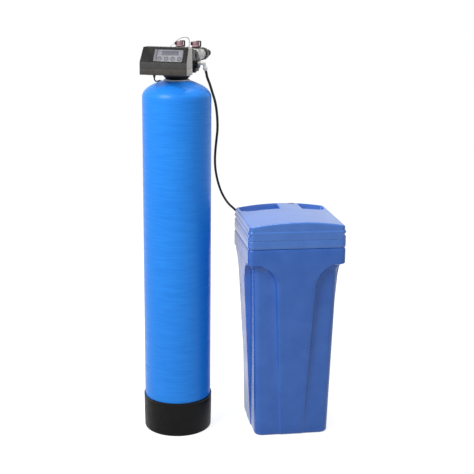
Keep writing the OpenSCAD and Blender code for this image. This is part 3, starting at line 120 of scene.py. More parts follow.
@dataclass(frozen=True)
class Finish:
    """A surface, from what its real material is and how it was made.

    The two colours are the ends of a soft mottle of the size given. The grain is the size of the fine relief.
    Both sizes are in millimetres, and stretch draws them out by axis.
    """

    name: str
    slot: str
    colour: str
    shade: str
    mottle: float
    grain: float
    relief: float
    roughness: float
    spread: float = 0.05
    metallic: float = 0.0
    ior: float = 1.5
    coat: float = 0.0
    stretch: tuple[float, float, float] = (1.0, 1.0, 1.0)
    form: Relief = Relief.GRAIN

    def material(self) -> bpy.types.Material:
        """Make the material once, and give the same one after that.

        Returns:
            The procedural material.
        """
        made = bpy.data.materials.get(self.name)
        if made:
            return made
        made = bpy.data.materials.new(self.name)
        made.use_nodes = True
        tree = made.node_tree
        tree.nodes.clear()
        place = add_node(tree, "ShaderNodeTexCoord", {}).outputs["Object"]
        drawn = add_node(tree, "ShaderNodeMapping", {"Vector": place, "Scale": self.stretch}).outputs["Vector"]
        patch = add_node(tree, "ShaderNodeTexNoise", {
            "Vector": drawn, "Scale": 1 / (self.mottle * MM), "Detail": 5.0, "Roughness": 0.55,
        }).outputs["Fac"]
        tint = add_node(tree, "ShaderNodeValToRGB", {"Fac": patch})
        for stop, place_on, colour in zip(tint.color_ramp.elements, (0.32, 0.68), (self.shade, self.colour)):
            stop.position = place_on
            stop.color = linear(colour)
        gloss = add_node(tree, "ShaderNodeMapRange", {
            "Value": patch, "From Min": 0.3, "From Max": 0.7,
            "To Min": self.roughness + self.spread, "To Max": self.roughness - self.spread,
        }).outputs["Result"]
        if self.form is Relief.BEADS:
            height = add_node(tree, "ShaderNodeTexVoronoi", {
                "Vector": drawn, "Scale": 1 / (self.grain * MM)}).outputs["Distance"]
        else:
            height = add_node(tree, "ShaderNodeTexNoise", {
                "Vector": drawn, "Scale": 1 / (self.grain * MM), "Detail": 3.0, "Roughness": 0.5,
            }).outputs["Fac"]
        bump = add_node(tree, "ShaderNodeBump", {
            "Height": height, "Strength": 1.0, "Distance": self.relief * MM}).outputs["Normal"]
        shader = add_node(tree, "ShaderNodeBsdfPrincipled", {
            "Base Color": tint.outputs["Color"], "Roughness": gloss, "Normal": bump, "Metallic": self.metallic,
            "IOR": self.ior, "Coat Weight": self.coat, "Coat Roughness": 0.12,
        })
        add_node(tree, "ShaderNodeOutputMaterial", {"Surface": shader.outputs["BSDF"]})
        return made


# Glass fibre wound in hoops under clear resin: a glossy azure skin with faint level streaks of the fibre bands
WOUND_GLASS = Finish("Wound_glass_fibre_in_azure_resin", "tank_blue", "#2A90F4", "#1F82EA", 90, 34, 0.08, 0.34,
                     stretch=(1.0, 1.0, 18.0), ior=1.3)
# Rubbery polyethylene, moulded: nearly black, dull, with a fine matt grain
BOOT_PLASTIC = Finish("Moulded_black_polyethylene", "boot_black", "#161617", "#111112", 25, 1.6, 0.05, 0.44, ior=1.2)
# ABS insert, machined after moulding: clean off-white
COLLAR_PLASTIC = Finish("Turned_white_ABS", "collar_white", "#E4E3DE", "#D8D6CF", 15, 1.2, 0.02, 0.40)
# Unpainted polypropylene tube and mouldings: milky white
INNER_PLASTIC = Finish("Natural_polypropylene", "inner_white", "#DEDDD4", "#D0CEC3", 18, 1.5, 0.03, 0.45)
# Ion exchange resin: amber beads, drawn three times coarser than their 0.7 mm so that they show
RESIN_BEADS = Finish("Amber_resin_beads", "resin", "#B9842E", "#93601B", 9, 2.2, 0.60, 0.35, form=Relief.BEADS)
# Glass-filled polymer of the valve: black with a slight sheen and a faint fibre mottle
VALVE_PLASTIC = Finish("Glass_filled_black_polymer", "valve_black", "#18181B", "#101013", 12, 1.4, 0.05, 0.38, ior=1.35)
# Rubber seals: soft black, dull
SEAL_RUBBER = Finish("Nitrile_rubber", "seal_rubber", "#141414", "#0E0E0E", 6, 0.9, 0.02, 0.60)
# Lapped ceramic: pale and glassy
DISC_CERAMIC = Finish("Lapped_alumina_ceramic", "disc_ceramic", "#EDEAE2", "#E2DED3", 8, 0.8, 0.005, 0.18, ior=1.76)
# Ground stainless shaft: grey metal with fine rings
SHAFT_STEEL = Finish("Ground_stainless_steel", "shaft_steel", "#B9B9B6", "#A6A6A2", 6, 0.9, 0.01, 0.28,
                     metallic=1.0, stretch=(1.0, 8.0, 1.0))
# Acetal gears and rotors: dense milky plastic
GEAR_PLASTIC = Finish("Moulded_acetal", "gear_white", "#E6E3D8", "#DAD6C8", 10, 1.2, 0.02, 0.36)
# Zinc plated steel of the motor can: bluish grey, slightly uneven
MOTOR_STEEL = Finish("Zinc_plated_steel", "motor_steel", "#A9ABAD", "#8D9092", 7, 1.4, 0.02, 0.34, metallic=1.0)
# Light grey ABS of the housing: a spark-eroded mould leaves it evenly matt
HOUSING_PLASTIC = Finish("Grained_light_grey_ABS", "housing_grey", "#CDCBC4", "#C3C1B9", 22, 0.9, 0.05, 0.48)
# Black film over the slope and the top of the head: deep and silky. The cover's downward faces along the box's bottom
# edge take it too, as a painted shade line under the box
BLACK_FILM_AND_UNDER_SHADE = Finish("Silky_black_film_and_painted_under_shade", "cover_charcoal", "#1C1C1D", "#171718", 14, 0.9, 0.04, 0.42, ior=1.2)
# Charcoal ABS of the cover's upright band: matt and slightly speckled from the grained mould
COVER_PLASTIC = Finish("Grained_charcoal_ABS", "cover_charcoal", "#454545", "#3D3D3D", 14, 0.9, 0.06, 0.46, ior=1.3)
# The same ABS below the groove, which the mould leaves a little warmer and duller
BAND_PLASTIC = Finish("Grained_umber_grey_ABS", "cover_charcoal", "#423E3B", "#393633", 14, 0.9, 0.06, 0.50, ior=1.3)
# Nickel plated screws: bright small metal
SCREW_STEEL = Finish("Nickel_plated_steel", "screw_steel", "#C2BFB8", "#A9A69F", 2, 0.6, 0.01, 0.26, metallic=1.0)
# Printed polycarbonate film of the panel: flat grey-lilac with a silky surface. The ramp at the panel's left edge takes
# it too, as a painted highlight on that slope
PANEL_FILM_AND_RAMP_HIGHLIGHT = Finish("Printed_polycarbonate_film_and_ramp_highlight", "panel_grey", "#707079", "#696972", 12, 0.8, 0.02, 0.40)
# Bezel printed on the film: the same lilac, much darker
BEZEL_FILM = Finish("Dark_printed_film", "panel_grey", "#4A4A55", "#44444E", 10, 0.8, 0.02, 0.36)
# Liquid crystal under glass: lilac grey and glossy, with a faint unevenness of the polariser
LCD_GLASS = Finish("Liquid_crystal_glass", "lcd_glass", "#60616A", "#595A62", 14, 6, 0.002, 0.30, ior=1.2)
# Circuit board: green solder mask with a faint glass weave under it
BOARD_RESIN = Finish("Green_solder_mask", "board_green", "#1F5B36", "#184A2B", 5, 0.9, 0.02, 0.30)
# Silicone key caps: grey-lilac, softer looking than the film
KEY_RUBBER = Finish("Moulded_grey_silicone", "button_grey", "#67676F", "#606068", 5, 0.7, 0.02, 0.48)
# Acetal elbows and nuts: bright white and waxy
FITTING_PLASTIC = Finish("White_acetal", "fitting_white", "#F0EFEC", "#E8E6E1", 9, 1.0, 0.02, 0.34)
# PVC sheath of the meter's cable: pale grey, soft gloss
CABLE_PVC = Finish("Pale_grey_PVC_sheath", "cable_grey", "#C9C8C4", "#BEBCB7", 8, 1.4, 0.03, 0.42)
# Rose-coloured ABS of the bypass handles: dusty rose, even and semi-gloss
HANDLE_PLASTIC = Finish("Dusty_rose_ABS", "handle_rose", "#A5838A", "#8C6870", 9, 1.0, 0.03, 0.36)
# Black thumb blocks and straps of the handles: satin
STRAP_PLASTIC = Finish("Satin_black_ABS", "handle_rose", "#1A191B", "#131214", 12, 1.0, 0.03, 0.40, ior=1.35)
# Pale grey polymer of the bypass: clean, with a soft gloss
BYPASS_PLASTIC = Finish("Moulded_pale_grey_polymer", "bypass_grey", "#D2D1CD", "#C4C3BE", 14, 1.2, 0.03, 0.40)
# Rotation-moulded polyethylene: waxy mid blue, a slow orange-peel and a pale gloss at low angles
TUB_PLASTIC = Finish("Rotomoulded_blue_polyethylene", "tub_blue", "#3469C0", "#2D61B6", 70, 9, 0.05, 0.24, ior=1.42)
# The lid's polyethylene: the tub's blue, painted a shade lighter as painted light for the bright top light on the lid
LID_PLASTIC_PAINTED_LIGHTER = Finish("Rotomoulded_polyethylene_lid_painted_lighter", "lid_blue", "#4278CC", "#3B70C2", 70, 9, 0.03, 0.16,
                     spread=0.03)
# Bare plate let into the lid: dark grey polymer
PLATE_PLASTIC = Finish("Satin_dark_grey_polymer", "plate_grey", "#55565A", "#4C4D51", 6, 0.8, 0.02, 0.40)
# Foamed float: cream and slightly porous
FLOAT_FOAM = Finish("Cream_foamed_polypropylene", "float_cream", "#E3D9BE", "#D6CBAC", 8, 2.0, 0.08, 0.55)
# Extruded polyethylene tube: black with a satin skin
LINE_PLASTIC = Finish("Extruded_black_polyethylene", "line_black", "#131314", "#0D0D0E", 20, 2.5, 0.03, 0.34, ior=1.35)
# PVC sheath of the power lead: black, a little duller
LEAD_PVC = Finish("Black_PVC_sheath", "lead_black", "#161617", "#101011", 14, 1.8, 0.03, 0.44, ior=1.35)
# ABS of the mains adapter: black, grained
ADAPTER_PLASTIC = Finish("Grained_black_ABS", "adapter_black", "#1B1B1C", "#141415", 12, 0.9, 0.05, 0.46)


# Steps of modelling


def deselect() -> None:
    """Leave edit mode and drop every selection, the CAD nodes' too."""
    if bpy.context.object and bpy.context.object.mode != "OBJECT":
        bpy.ops.object.mode_set(mode="OBJECT")
    bpy.ops.object.select_all(action="DESELECT")


def choose(*pieces: bpy.types.Object) -> None:
    """Select only these pieces, the first one active."""
    deselect()
    for piece in pieces:
        piece.select_set(True)
    bpy.context.view_layer.objects.active = pieces[0]


def open_mesh(piece: bpy.types.Object) -> None:
    """Go into edit mode on one piece, with all of it selected."""
    choose(piece)
    bpy.ops.object.mode_set(mode="EDIT")
    bpy.ops.mesh.select_mode(type="VERT")
    bpy.ops.mesh.select_all(action="SELECT")


def middle(item: bmesh.types.BMFace | bmesh.types.BMEdge | bmesh.types.BMVert) -> Vector:
    """Middle of a face, an edge or a point, in millimetres."""
    points = [item] if isinstance(item, bmesh.types.BMVert) else item.verts
    return sum((v.co for v in points), Vector()) / len(points) / MM


def pick(piece: bpy.types.Object, kind: str, test: Callable) -> None:
    """Select the parts of a mesh in edit mode that pass a test of their place or normal.

    Args:
        piece: the piece in edit mode.
        kind: VERT, EDGE or FACE.
        test: takes the part and says whether it is selected.
    """
    bpy.ops.mesh.select_mode(type=kind)
    bpy.ops.mesh.select_all(action="DESELECT")
    shape = bmesh.from_edit_mesh(piece.data)
    for item in {"VERT": shape.verts, "EDGE": shape.edges, "FACE": shape.faces}[kind]:
        if test(item):
            item.select_set(True)
    bmesh.update_edit_mesh(piece.data)


def block(name: str, low: Point, high: Point) -> bpy.types.Object:
    """Add a cube at its size and place, and open it.

    Args:
        name: the piece's name.
        low: its lowest corner.
        high: its highest corner.

    Returns:
        The piece, in edit mode.
    """
    deselect()
    bpy.ops.mesh.primitive_cube_add(
        size=1.0, location=[(a + b) / 2 * MM for a, b in zip(low, high)],
        scale=[(b - a) * MM for a, b in zip(low, high)])
    piece = bpy.context.object
    piece.name = name
    bpy.ops.object.transform_apply(location=True, rotation=True, scale=True)
    open_mesh(piece)
    return piece


def round_edges(piece: bpy.types.Object, width: float, segments: int, test: Callable) -> None:
    """Bevel the edges of an open piece that pass a test."""
    pick(piece, "EDGE", test)
    bpy.ops.mesh.bevel(offset=width * MM, offset_type="OFFSET", segments=segments, affect="EDGES", clamp_overlap=True)


def tidy_normals(piece: bpy.types.Object) -> None:
    """Merge doubled points and turn every face outwards."""
    open_mesh(piece)
    bpy.ops.mesh.remove_doubles(threshold=2e-6)
    bpy.ops.mesh.normals_make_consistent(inside=False)
    deselect()


def turn(name: str, profile: Profile, steps: int = 96) -> bpy.types.Object:
    """Spin a profile about the upright axis.

    Args:
        name: the piece's name.
        profile: radius and height of each point, from one end to the other.
        steps: steps round the circle.

    Returns:
        The closed piece, in object mode.
    """
    deselect()
    bpy.ops.mesh.primitive_plane_add(size=0.01)
    piece = bpy.context.object
    piece.name = name
    open_mesh(piece)
    bpy.ops.mesh.merge(type="CENTER")
    bpy.ops.transform.translate(value=(profile[0][0] * MM, 0, profile[0][1] * MM))
    for (r0, z0), (r1, z1) in zip(profile, profile[1:]):
        bpy.ops.mesh.extrude_region_move(TRANSFORM_OT_translate={"value": ((r1 - r0) * MM, 0, (z1 - z0) * MM)})
    bpy.ops.mesh.select_all(action="SELECT")
    bpy.ops.mesh.spin(steps=steps, angle=math.tau, center=(0, 0, 0), axis=(0, 0, 1))
    tidy_normals(piece)
    return piece


def lay_rings(piece: bpy.types.Object, marks: dict, rings: Iterable[Callable[[object], Point]]) -> None:
    """Extrude the selected loop once for each ring, and lay each new loop on its ring.

    Args:
        piece: the piece in edit mode, with one loop selected.
        marks: what each point of that loop stands for, by its rounded place.
        rings: for each ring, the place of a point from what it stands for.
    """
    for ring in rings:
        bpy.ops.mesh.extrude_region_move()
        shape = bmesh.from_edit_mesh(piece.data)
        laid = {}
        for vert in shape.verts:
            if vert.select:
                mark = marks[spot(vert.co)]
                vert.co = Vector(ring(mark)) * MM
                laid[spot(vert.co)] = mark
        bmesh.update_edit_mesh(piece.data)
        marks = laid


def spot(place: Vector) -> tuple[int, int, int]:
    """A place rounded to a tenth of a micrometre, to know a point by."""
    return tuple(round(c * 1e7) for c in place)


def skin(name: str, rings: Sequence[Sequence[Point]]) -> bpy.types.Object:
    """Loft a closed wall through rings of the same count, and close both ends.

    Args:
        name: the piece's name.
        rings: the rings from the first end to the last.

    Returns:
        The closed piece, in object mode.
    """
    deselect()
    bpy.ops.mesh.primitive_circle_add(vertices=len(rings[0]), radius=1.0)
    piece = bpy.context.object
    piece.name = name
    open_mesh(piece)
    shape = bmesh.from_edit_mesh(piece.data)
    marks = {}
    for index, vert in enumerate(shape.verts):
        vert.co = Vector(rings[0][index]) * MM
        marks[spot(vert.co)] = index
    bmesh.update_edit_mesh(piece.data)
    lay_rings(piece, marks, [lambda index, ring=ring: ring[index] for ring in rings[1:]])
    bpy.ops.mesh.edge_face_add()
    pick(piece, "EDGE", lambda edge: edge.is_boundary)
    bpy.ops.mesh.edge_face_add()
    tidy_normals(piece)
    return piece


def work(piece: bpy.types.Object, kind: str, **settings) -> None:
    """Add a modifier with its settings and apply it."""
    choose(piece)
    step = piece.modifiers.new(kind.title(), kind)
    for key, value in settings.items():
        setattr(step, key, value)
    bpy.ops.object.modifier_apply(modifier=step.name)


def carve(piece: bpy.types.Object, tool: bpy.types.Object, operation: str = "DIFFERENCE") -> None:
    """Cut, join or intersect a piece with a tool piece, which is then removed."""
    work(piece, "BOOLEAN", operation=operation, object=tool, solver="EXACT")
    bpy.data.objects.remove(tool)


def copy_of(piece: bpy.types.Object, name: str) -> bpy.types.Object:
    """A copy of a piece with its own mesh."""
    made = piece.copy()
    made.data = piece.data.copy()
    made.name = name
    bpy.context.scene.collection.objects.link(made)
    return made


def join(pieces: Sequence[bpy.types.Object], name: str) -> bpy.types.Object:
    """Join pieces into the first one, under a new name."""
    choose(*pieces)
    bpy.ops.object.join()
    pieces[0].name = name
    return pieces[0]


def settle(piece: bpy.types.Object, turn_by: Point = (0, 0, 0), to: Point = (0, 0, 0)) -> bpy.types.Object:
    """Turn and move a piece, and put its place into its mesh.

    Args:
        piece: the piece.
        turn_by: angles about X, Y and Z in degrees.
        to: where its origin goes.

    Returns:
        The same piece.
    """
    choose(piece)
    piece.rotation_euler = [math.radians(a) for a in turn_by]
    piece.location = Vector(to) * MM
    bpy.ops.object.transform_apply(location=True, rotation=True, scale=True)
    return piece


def to_head(piece: bpy.types.Object) -> bpy.types.Object:
    """Turn a piece made in the head's frame to where the head stands."""
    return settle(piece, (0, 0, HEAD_TURN))


def to_brine(piece: bpy.types.Object) -> bpy.types.Object:
    """Turn and move a piece made in the brine tank's frame to where the tank stands."""
    return settle(piece, (0, 0, BRINE_TURN), BRINE_AT)


def dress_faces(piece: bpy.types.Object, finishes: Sequence[Finish], finish_of: Callable) -> None:
    """Give a piece several finishes, and each of its faces one of them.

    Args:
        piece: the piece, in object mode and still bare.
        finishes: the finishes in the order of its slots.
        finish_of: takes a face and gives its finish.
    """
    for finish in finishes:
        piece.data.materials.append(finish.material())
    for face in piece.data.polygons:
        face.material_index = finishes.index(finish_of(face))


def hand_over(piece: bpy.types.Object, finish: Finish, body: Body, *nodes: str, angle: float = 32) -> bpy.types.Object:
    """Smooth a finished piece, dress it and put it on its body.

    Args:
        piece: the finished piece.
        finish: its finish, unless it already has several.
        body: the body it rides on.
        nodes: the CAD nodes it stands for.
        angle: edges sharper than this stay crisp, in degrees.

    Returns:
        The same piece.
    """
    choose(piece)
    if piece.type == "MESH":
        bpy.ops.object.shade_smooth_by_angle(angle=math.radians(angle))
    if not piece.data.materials:
        piece.data.materials.append(finish.material())
    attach(piece, body.value)
    if nodes:
        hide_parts(*nodes)
    LOG.info("%s rides on %s", piece.name, body.value)
    return piece


def refine(node: str, finish: Finish, width: float, body: Body = Body.ROOT, angle: float = 38) -> bpy.types.Object:
    """Put a cleaned copy with rounded edges in the place of a CAD node.

    Args:
        node: the node's name.
        finish: its finish.
        width: the width of its rounded edges.
        body: the body it rides on.
        angle: edges sharper than this are rounded, in degrees.

    Returns:
        The new piece.
    """
    piece = bpy.data.objects.new(node + "_moulded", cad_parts[node].data.copy())
    bpy.context.scene.collection.objects.link(piece)
    piece.data.materials.clear()
    open_mesh(piece)
    bpy.ops.mesh.remove_doubles(threshold=1e-6)
    bpy.ops.mesh.dissolve_limited(angle_limit=math.radians(1.0))
    deselect()
    work(piece, "BEVEL", width=width * MM, segments=2, limit_method="ANGLE", angle_limit=math.radians(angle),
         use_clamp_overlap=True)
    return hand_over(piece, finish, body, node, angle=angle)


def smooth(value: float) -> float:
    """A soft step from 0 to 1."""
    t = min(1.0, max(0.0, value))
    return t * t * (3 - 2 * t)


def arc(centre: tuple[float, float], radius: float, start: float, end: float, steps: int) -> Profile:
    """Points of an arc, with its angles in degrees from the first axis."""
    return [(centre[0] + radius * math.cos(math.radians(start + (end - start) * i / steps)),
             centre[1] + radius * math.sin(math.radians(start + (end - start) * i / steps))) for i in range(steps + 1)]


# Studio


@dataclass
class Studio:
    """Camera, floor and soft light.

    The camera's stand is in millimetres. The lamps' places and sizes are in metres.
    """

    lens: float = 78.86
    sensor: float = 36.0
    stand: Point = (228.0, -3855.0, 1706.0)
    pitch: float = 76.32
    roll: float = 0.58
    sky: float = 0.45
    key: float = 90.0
    glow: float = 0.76
    top_share: float = 0.52
    key_at: Point = (-1.7, -2.0, 3.0)
    key_aim: Point = (0.1, 0.0, 1.0)
    key_size: float = 1.6
    top_at: Point = (0.3, 0.3, 3.8)
    top_aim: Point = (0.3, 0.0, 0.6)
    top_size: float = 1.5

    def camera(self) -> None:
        """Set the camera where the photograph was taken from."""
        view = bpy.data.cameras.new("Camera")
        view.lens = self.lens
        view.sensor_width = self.sensor
        view.clip_end = 60.0
        stand = bpy.data.objects.new("Camera", view)
        stand.matrix_world = (Matrix.Translation(Vector(self.stand) * MM)
                              @ Matrix.Rotation(math.radians(self.pitch), 4, "X")
                              @ Matrix.Rotation(math.radians(self.roll), 4, "Z"))
        bpy.context.scene.collection.objects.link(stand)
        bpy.context.scene.camera = stand

    def lamp(self, name: str, place: Point, aim: Point, size: float, power: float) -> None:
        """Add a soft square lamp.

        Args:
            name: the lamp's name.
            place: where it stands, in metres.
            aim: what it points at, in metres.
            size: the length of its side, in metres.
            power: its power in watts.
        """
        light = bpy.data.lights.new(name, "AREA")
        light.size = size
        light.energy = power
        stand = bpy.data.objects.new(name, light)
        stand.location = place
        stand.rotation_euler = (Vector(aim) - Vector(place)).to_track_quat("-Z", "Y").to_euler()
        bpy.context.scene.collection.objects.link(stand)

    def seen_white(self, tree: bpy.types.NodeTree) -> bpy.types.NodeSocket:
        """A mask of the rays that see the backdrop: from the camera, in gloss and through glass."""
        path = add_node(tree, "ShaderNodeLightPath", {})
        either = add_node(tree, "ShaderNodeMath", {
            0: path.outputs["Is Camera Ray"], 1: path.outputs["Is Glossy Ray"]}, operation="MAXIMUM").outputs[0]
        return add_node(tree, "ShaderNodeMath", {
            0: either, 1: path.outputs["Is Transmission Ray"]}, operation="MAXIMUM").outputs[0]

    def build(self) -> None:
        """Make the camera, the sky, the lamps and the floor."""
        bpy.context.scene.view_settings.view_transform = "Standard"
        self.camera()
        world = bpy.data.worlds.new("Soft_white_room")
        bpy.context.scene.world = world
        world.use_nodes = True
        tree = world.node_tree
        tree.nodes.clear()
        level = add_node(tree, "ShaderNodeMapRange", {
            "Value": self.seen_white(tree), "To Min": self.sky, "To Max": 1.0}).outputs["Result"]
        back = add_node(tree, "ShaderNodeBackground", {"Color": (1, 1, 1, 1), "Strength": level})
        add_node(tree, "ShaderNodeOutputWorld", {"Surface": back.outputs[0]})
        self.lamp("Key_lamp", self.key_at, self.key_aim, self.key_size, self.key)
        self.lamp("Top_lamp", self.top_at, self.top_aim, self.top_size, self.top_share * self.key)

        deselect()
        bpy.ops.mesh.primitive_plane_add(size=40.0, location=(0, 0, 0))
        floor = bpy.context.object
        floor.name = "Studio_floor"
        paper = bpy.data.materials.new("White_paper_floor")
        paper.use_nodes = True
        tree = paper.node_tree
        tree.nodes.clear()
        glow = add_node(tree, "ShaderNodeMapRange", {
            "Value": self.seen_white(tree), "To Min": 0.0, "To Max": self.glow}).outputs["Result"]
        shine = add_node(tree, "ShaderNodeEmission", {"Color": (1, 1, 1, 1), "Strength": glow})
        dull = add_node(tree, "ShaderNodeBsdfDiffuse", {"Color": linear("#C2C2C2")})
        both = add_node(tree, "ShaderNodeAddShader", {0: shine.outputs[0], 1: dull.outputs[0]})
        add_node(tree, "ShaderNodeOutputMaterial", {"Surface": both.outputs[0]})
        floor.data.materials.append(paper)


# Cords


def smooth_route(first: Point, step_out: Point, route: Sequence[Point], step_in: Point, last: Point,
                 steps: int = 4) -> list[Vector]:
    """A smooth route that leaves its first point along one step and reaches its last along another.

    Args:
        first: the first point.
        step_out: the straight step away from it.
        route: the points between.
        step_in: the straight step from the last point back to the route.
        last: the last point.
        steps: steps between two points.

    Returns:
        The points of the whole route.
    """
    marks = [Vector(first) + Vector(step_out)] + [Vector(p) for p in route] + [Vector(last) + Vector(step_in)]
    found = [Vector(first)]
    for i in range(len(marks) - 1):
        a, b, c, d = marks[max(i - 1, 0)], marks[i], marks[i + 1], marks[min(i + 2, len(marks) - 1)]
        for k in range(steps):
            t = k / steps
            found.append((2 * b + (c - a) * t + (2 * a - 5 * b + 4 * c - d) * t ** 2
                          + (3 * b - a - 3 * c + d) * t ** 3) / 2)
    return found + [marks[-1], Vector(last)]


def head_to_world(place: Sequence[float]) -> Vector:
    """A place in the head's frame, given in the floor's."""
    return Matrix.Rotation(math.radians(HEAD_TURN), 3, "Z") @ Vector(place)


def brine_to_world(place: Sequence[float]) -> Vector:
    """A place in the brine tank's frame, given in the floor's."""
    return Matrix.Rotation(math.radians(BRINE_TURN), 3, "Z") @ Vector(place) + Vector(BRINE_AT)


@dataclass
class Cords:
    """The brine line, the power lead with its coil, and the meter's cable."""

    line_d: float = 9.5
    lead_d: float = 5.0
    cable_d: float = 3.2
    coil_turns: float = 6.5
    coil_loops: float = 3.0
    coil_climb: float = 0.5
    coil_out: float = 38.6
    coil_in: float = 20.0
    coil_step: float = 6.2
    coil_low: float = 4.1
    coil_middle: tuple[float, float] = (-58.0, 240.0)
    coil_tail: float = 28.0
    elbow: Point = (101.0, 14.0, 1424.0)
    elbow_lean: float = 15.0
    elbow_reach: float = 28.0
    wall_stub: Point = (-50.0, 207.21, 672.0)
    gland: Point = (-60.0, -72.0, 1373.0)
    cable_start: Point = (2.0, -66.5, 1485.0)
    meter: Point = (32.0, 46.0, 1475.0)
    line_route: tuple[Point, ...] = (
        (113, -17, 1373), (122, -12, 1349), (131, -4, 1319), (141, 6, 1285), (147, 18, 1249), (150, 32, 1210),
        (150, 48, 1171), (146, 66, 1130), (142, 86, 1088), (140, 108, 1046), (142, 132, 1003), (149, 158, 959),
        (161, 184, 914), (177, 210, 876), (194, 236, 847), (215, 256, 823), (239, 266, 796), (264, 266, 768),
        (289, 260, 741), (313, 252, 717))
    lead_route: tuple[Point, ...] = (
        (-77, -46, 1364), (-75, -34, 1359), (-72, -18, 1357), (-69, -2, 1357), (-66, 14, 1357), (-64, 30, 1356),
        (-62, 50, 1353), (-62, 72, 1348), (-61, 93, 1338), (-60, 111, 1321), (-59, 119, 1300), (-58, 121, 1270),
        (-58, 122, 1240), (-57, 122, 1200), (-57, 122, 1100), (-57, 122, 1000), (-57, 122, 900), (-57, 122, 800),
        (-57, 122, 700), (-57, 122, 600), (-57, 122, 500), (-57, 122, 400), (-57, 122, 320), (-57, 124, 250),
        (-56, 126, 200), (-54, 128, 150), (-50, 130, 110), (-44, 132, 75), (-36, 137, 43), (-28, 147, 19),
        (-22, 164, 7), (-20, 184, 4), (-20, 206, 4))
    cable_route: tuple[Point, ...] = (
        (4, -58, 1492), (7, -48, 1498), (11, -30, 1506), (16, -10, 1512), (21, 6, 1515), (27, 20, 1516),
        (32, 33, 1513), (34, 42, 1504))

    def tube(self, name: str, path: Sequence[Vector], diameter: float) -> bpy.types.Object:
        """A round cord on a path.

        Args:
            name: the piece's name.
            path: its points in millimetres.
            diameter: its diameter in millimetres.

        Returns:
            The curve piece.
        """
        line = bpy.data.curves.new(name, "CURVE")
        line.dimensions = "3D"
        line.bevel_depth = diameter / 2 * MM
        line.bevel_resolution = 5
        line.use_fill_caps = True
        spline = line.splines.new("POLY")
        spline.points.add(len(path) - 1)
        for point, place in zip(spline.points, path):
            point.co = (*(place * MM), 1.0)
        piece = bpy.data.objects.new(name, line)
        bpy.context.scene.collection.objects.link(piece)
        return piece

    def coil(self) -> list[Vector]:
        """Points of the coil on the floor: in, up in half a turn, and out on top."""
        points = []
        per_turn = 40
        for i in range(int(self.coil_turns * per_turn) + 1):
            t = i / per_turn
            if t <= self.coil_loops:
                r = self.coil_out - self.coil_step * t
            else:
                r = self.coil_in + self.coil_step * max(0.0, t - self.coil_loops - self.coil_climb)
            lift = self.coil_step * min(1.0, max(0.0, (t - self.coil_loops) / self.coil_climb))
            points.append(Vector((self.coil_middle[0] + r * math.cos(math.tau * t),
                                  self.coil_middle[1] + r * math.sin(math.tau * t), self.coil_low + lift)))
        return points

    def lay_line(self) -> None:
        """Lay the brine line from the head's elbow to the tub's back wall."""
        lean = math.radians(self.elbow_lean)
        down = Vector((math.sin(lean), 0, -math.cos(lean)))
        start = head_to_world(Vector(self.elbow) + self.elbow_reach * down)
        end = brine_to_world(self.wall_stub)
        path = smooth_route(start, head_to_world(down) * self.line_d, self.line_route, (0, 0, self.line_d), end)
        line = hand_over(self.tube("brine_hose", path, self.line_d), LINE_PLASTIC, Body.ROOT, "brine_line")

    def lay_lead(self) -> None:
        """Lay the power lead from its gland down the tank's back, coil it and tie it by its adapter."""
        coil = self.coil()
        start = head_to_world(self.gland)
        near = coil[0] - Vector((0, self.lead_d, 0))
        path = smooth_route(start, (0, 0, -self.lead_d), self.lead_route, (0, -2 * self.lead_d, 0), near)
        path += coil + [coil[-1] - Vector((0, self.coil_tail, 0))]
        lead = hand_over(self.tube("adapter_lead", path, self.lead_d), LEAD_PVC, Body.ROOT, "power_lead", "lead_coil")
        tie = refine("coil_tie", LEAD_PVC, 0.4)
        plug = refine("plug_adapter", ADAPTER_PLASTIC, 2.0)

    def lay_cable(self) -> None:
        """Lay the meter's cable over the head, with the probe on its end."""
        path = smooth_route(self.cable_start, (0, 0, self.cable_d), self.cable_route, (0, 0, 2 * self.cable_d),
                            self.meter)
        cable = self.tube("sensor_cable", [head_to_world(p) for p in path], self.cable_d)
        choose(cable)
        bpy.ops.object.convert(target="MESH")
        probe = turn("sensor_probe", [(0, 1463.6), (4.8, 1463.6), (4.8, 1470), (6.4, 1470.4), (6.4, 1473.6),
                                      (5.8, 1474.4), (3.2, 1475), (2.4, 1478), (2.2, 1481), (0, 1481)], 40)
        settle(probe, (0, 0, 0), tuple(head_to_world((*self.meter[:2], 0))))
        cable = bpy.context.view_layer.objects["sensor_cable"]
        hand_over(join([cable, probe], "sensor_lead"), CABLE_PVC, Body.ROOT, "meter_cable")

    def build(self) -> None:
        """Lay the cords on the routes of the CAD's."""
        self.lay_line()
        self.lay_lead()
        self.lay_cable()


# Resin tank


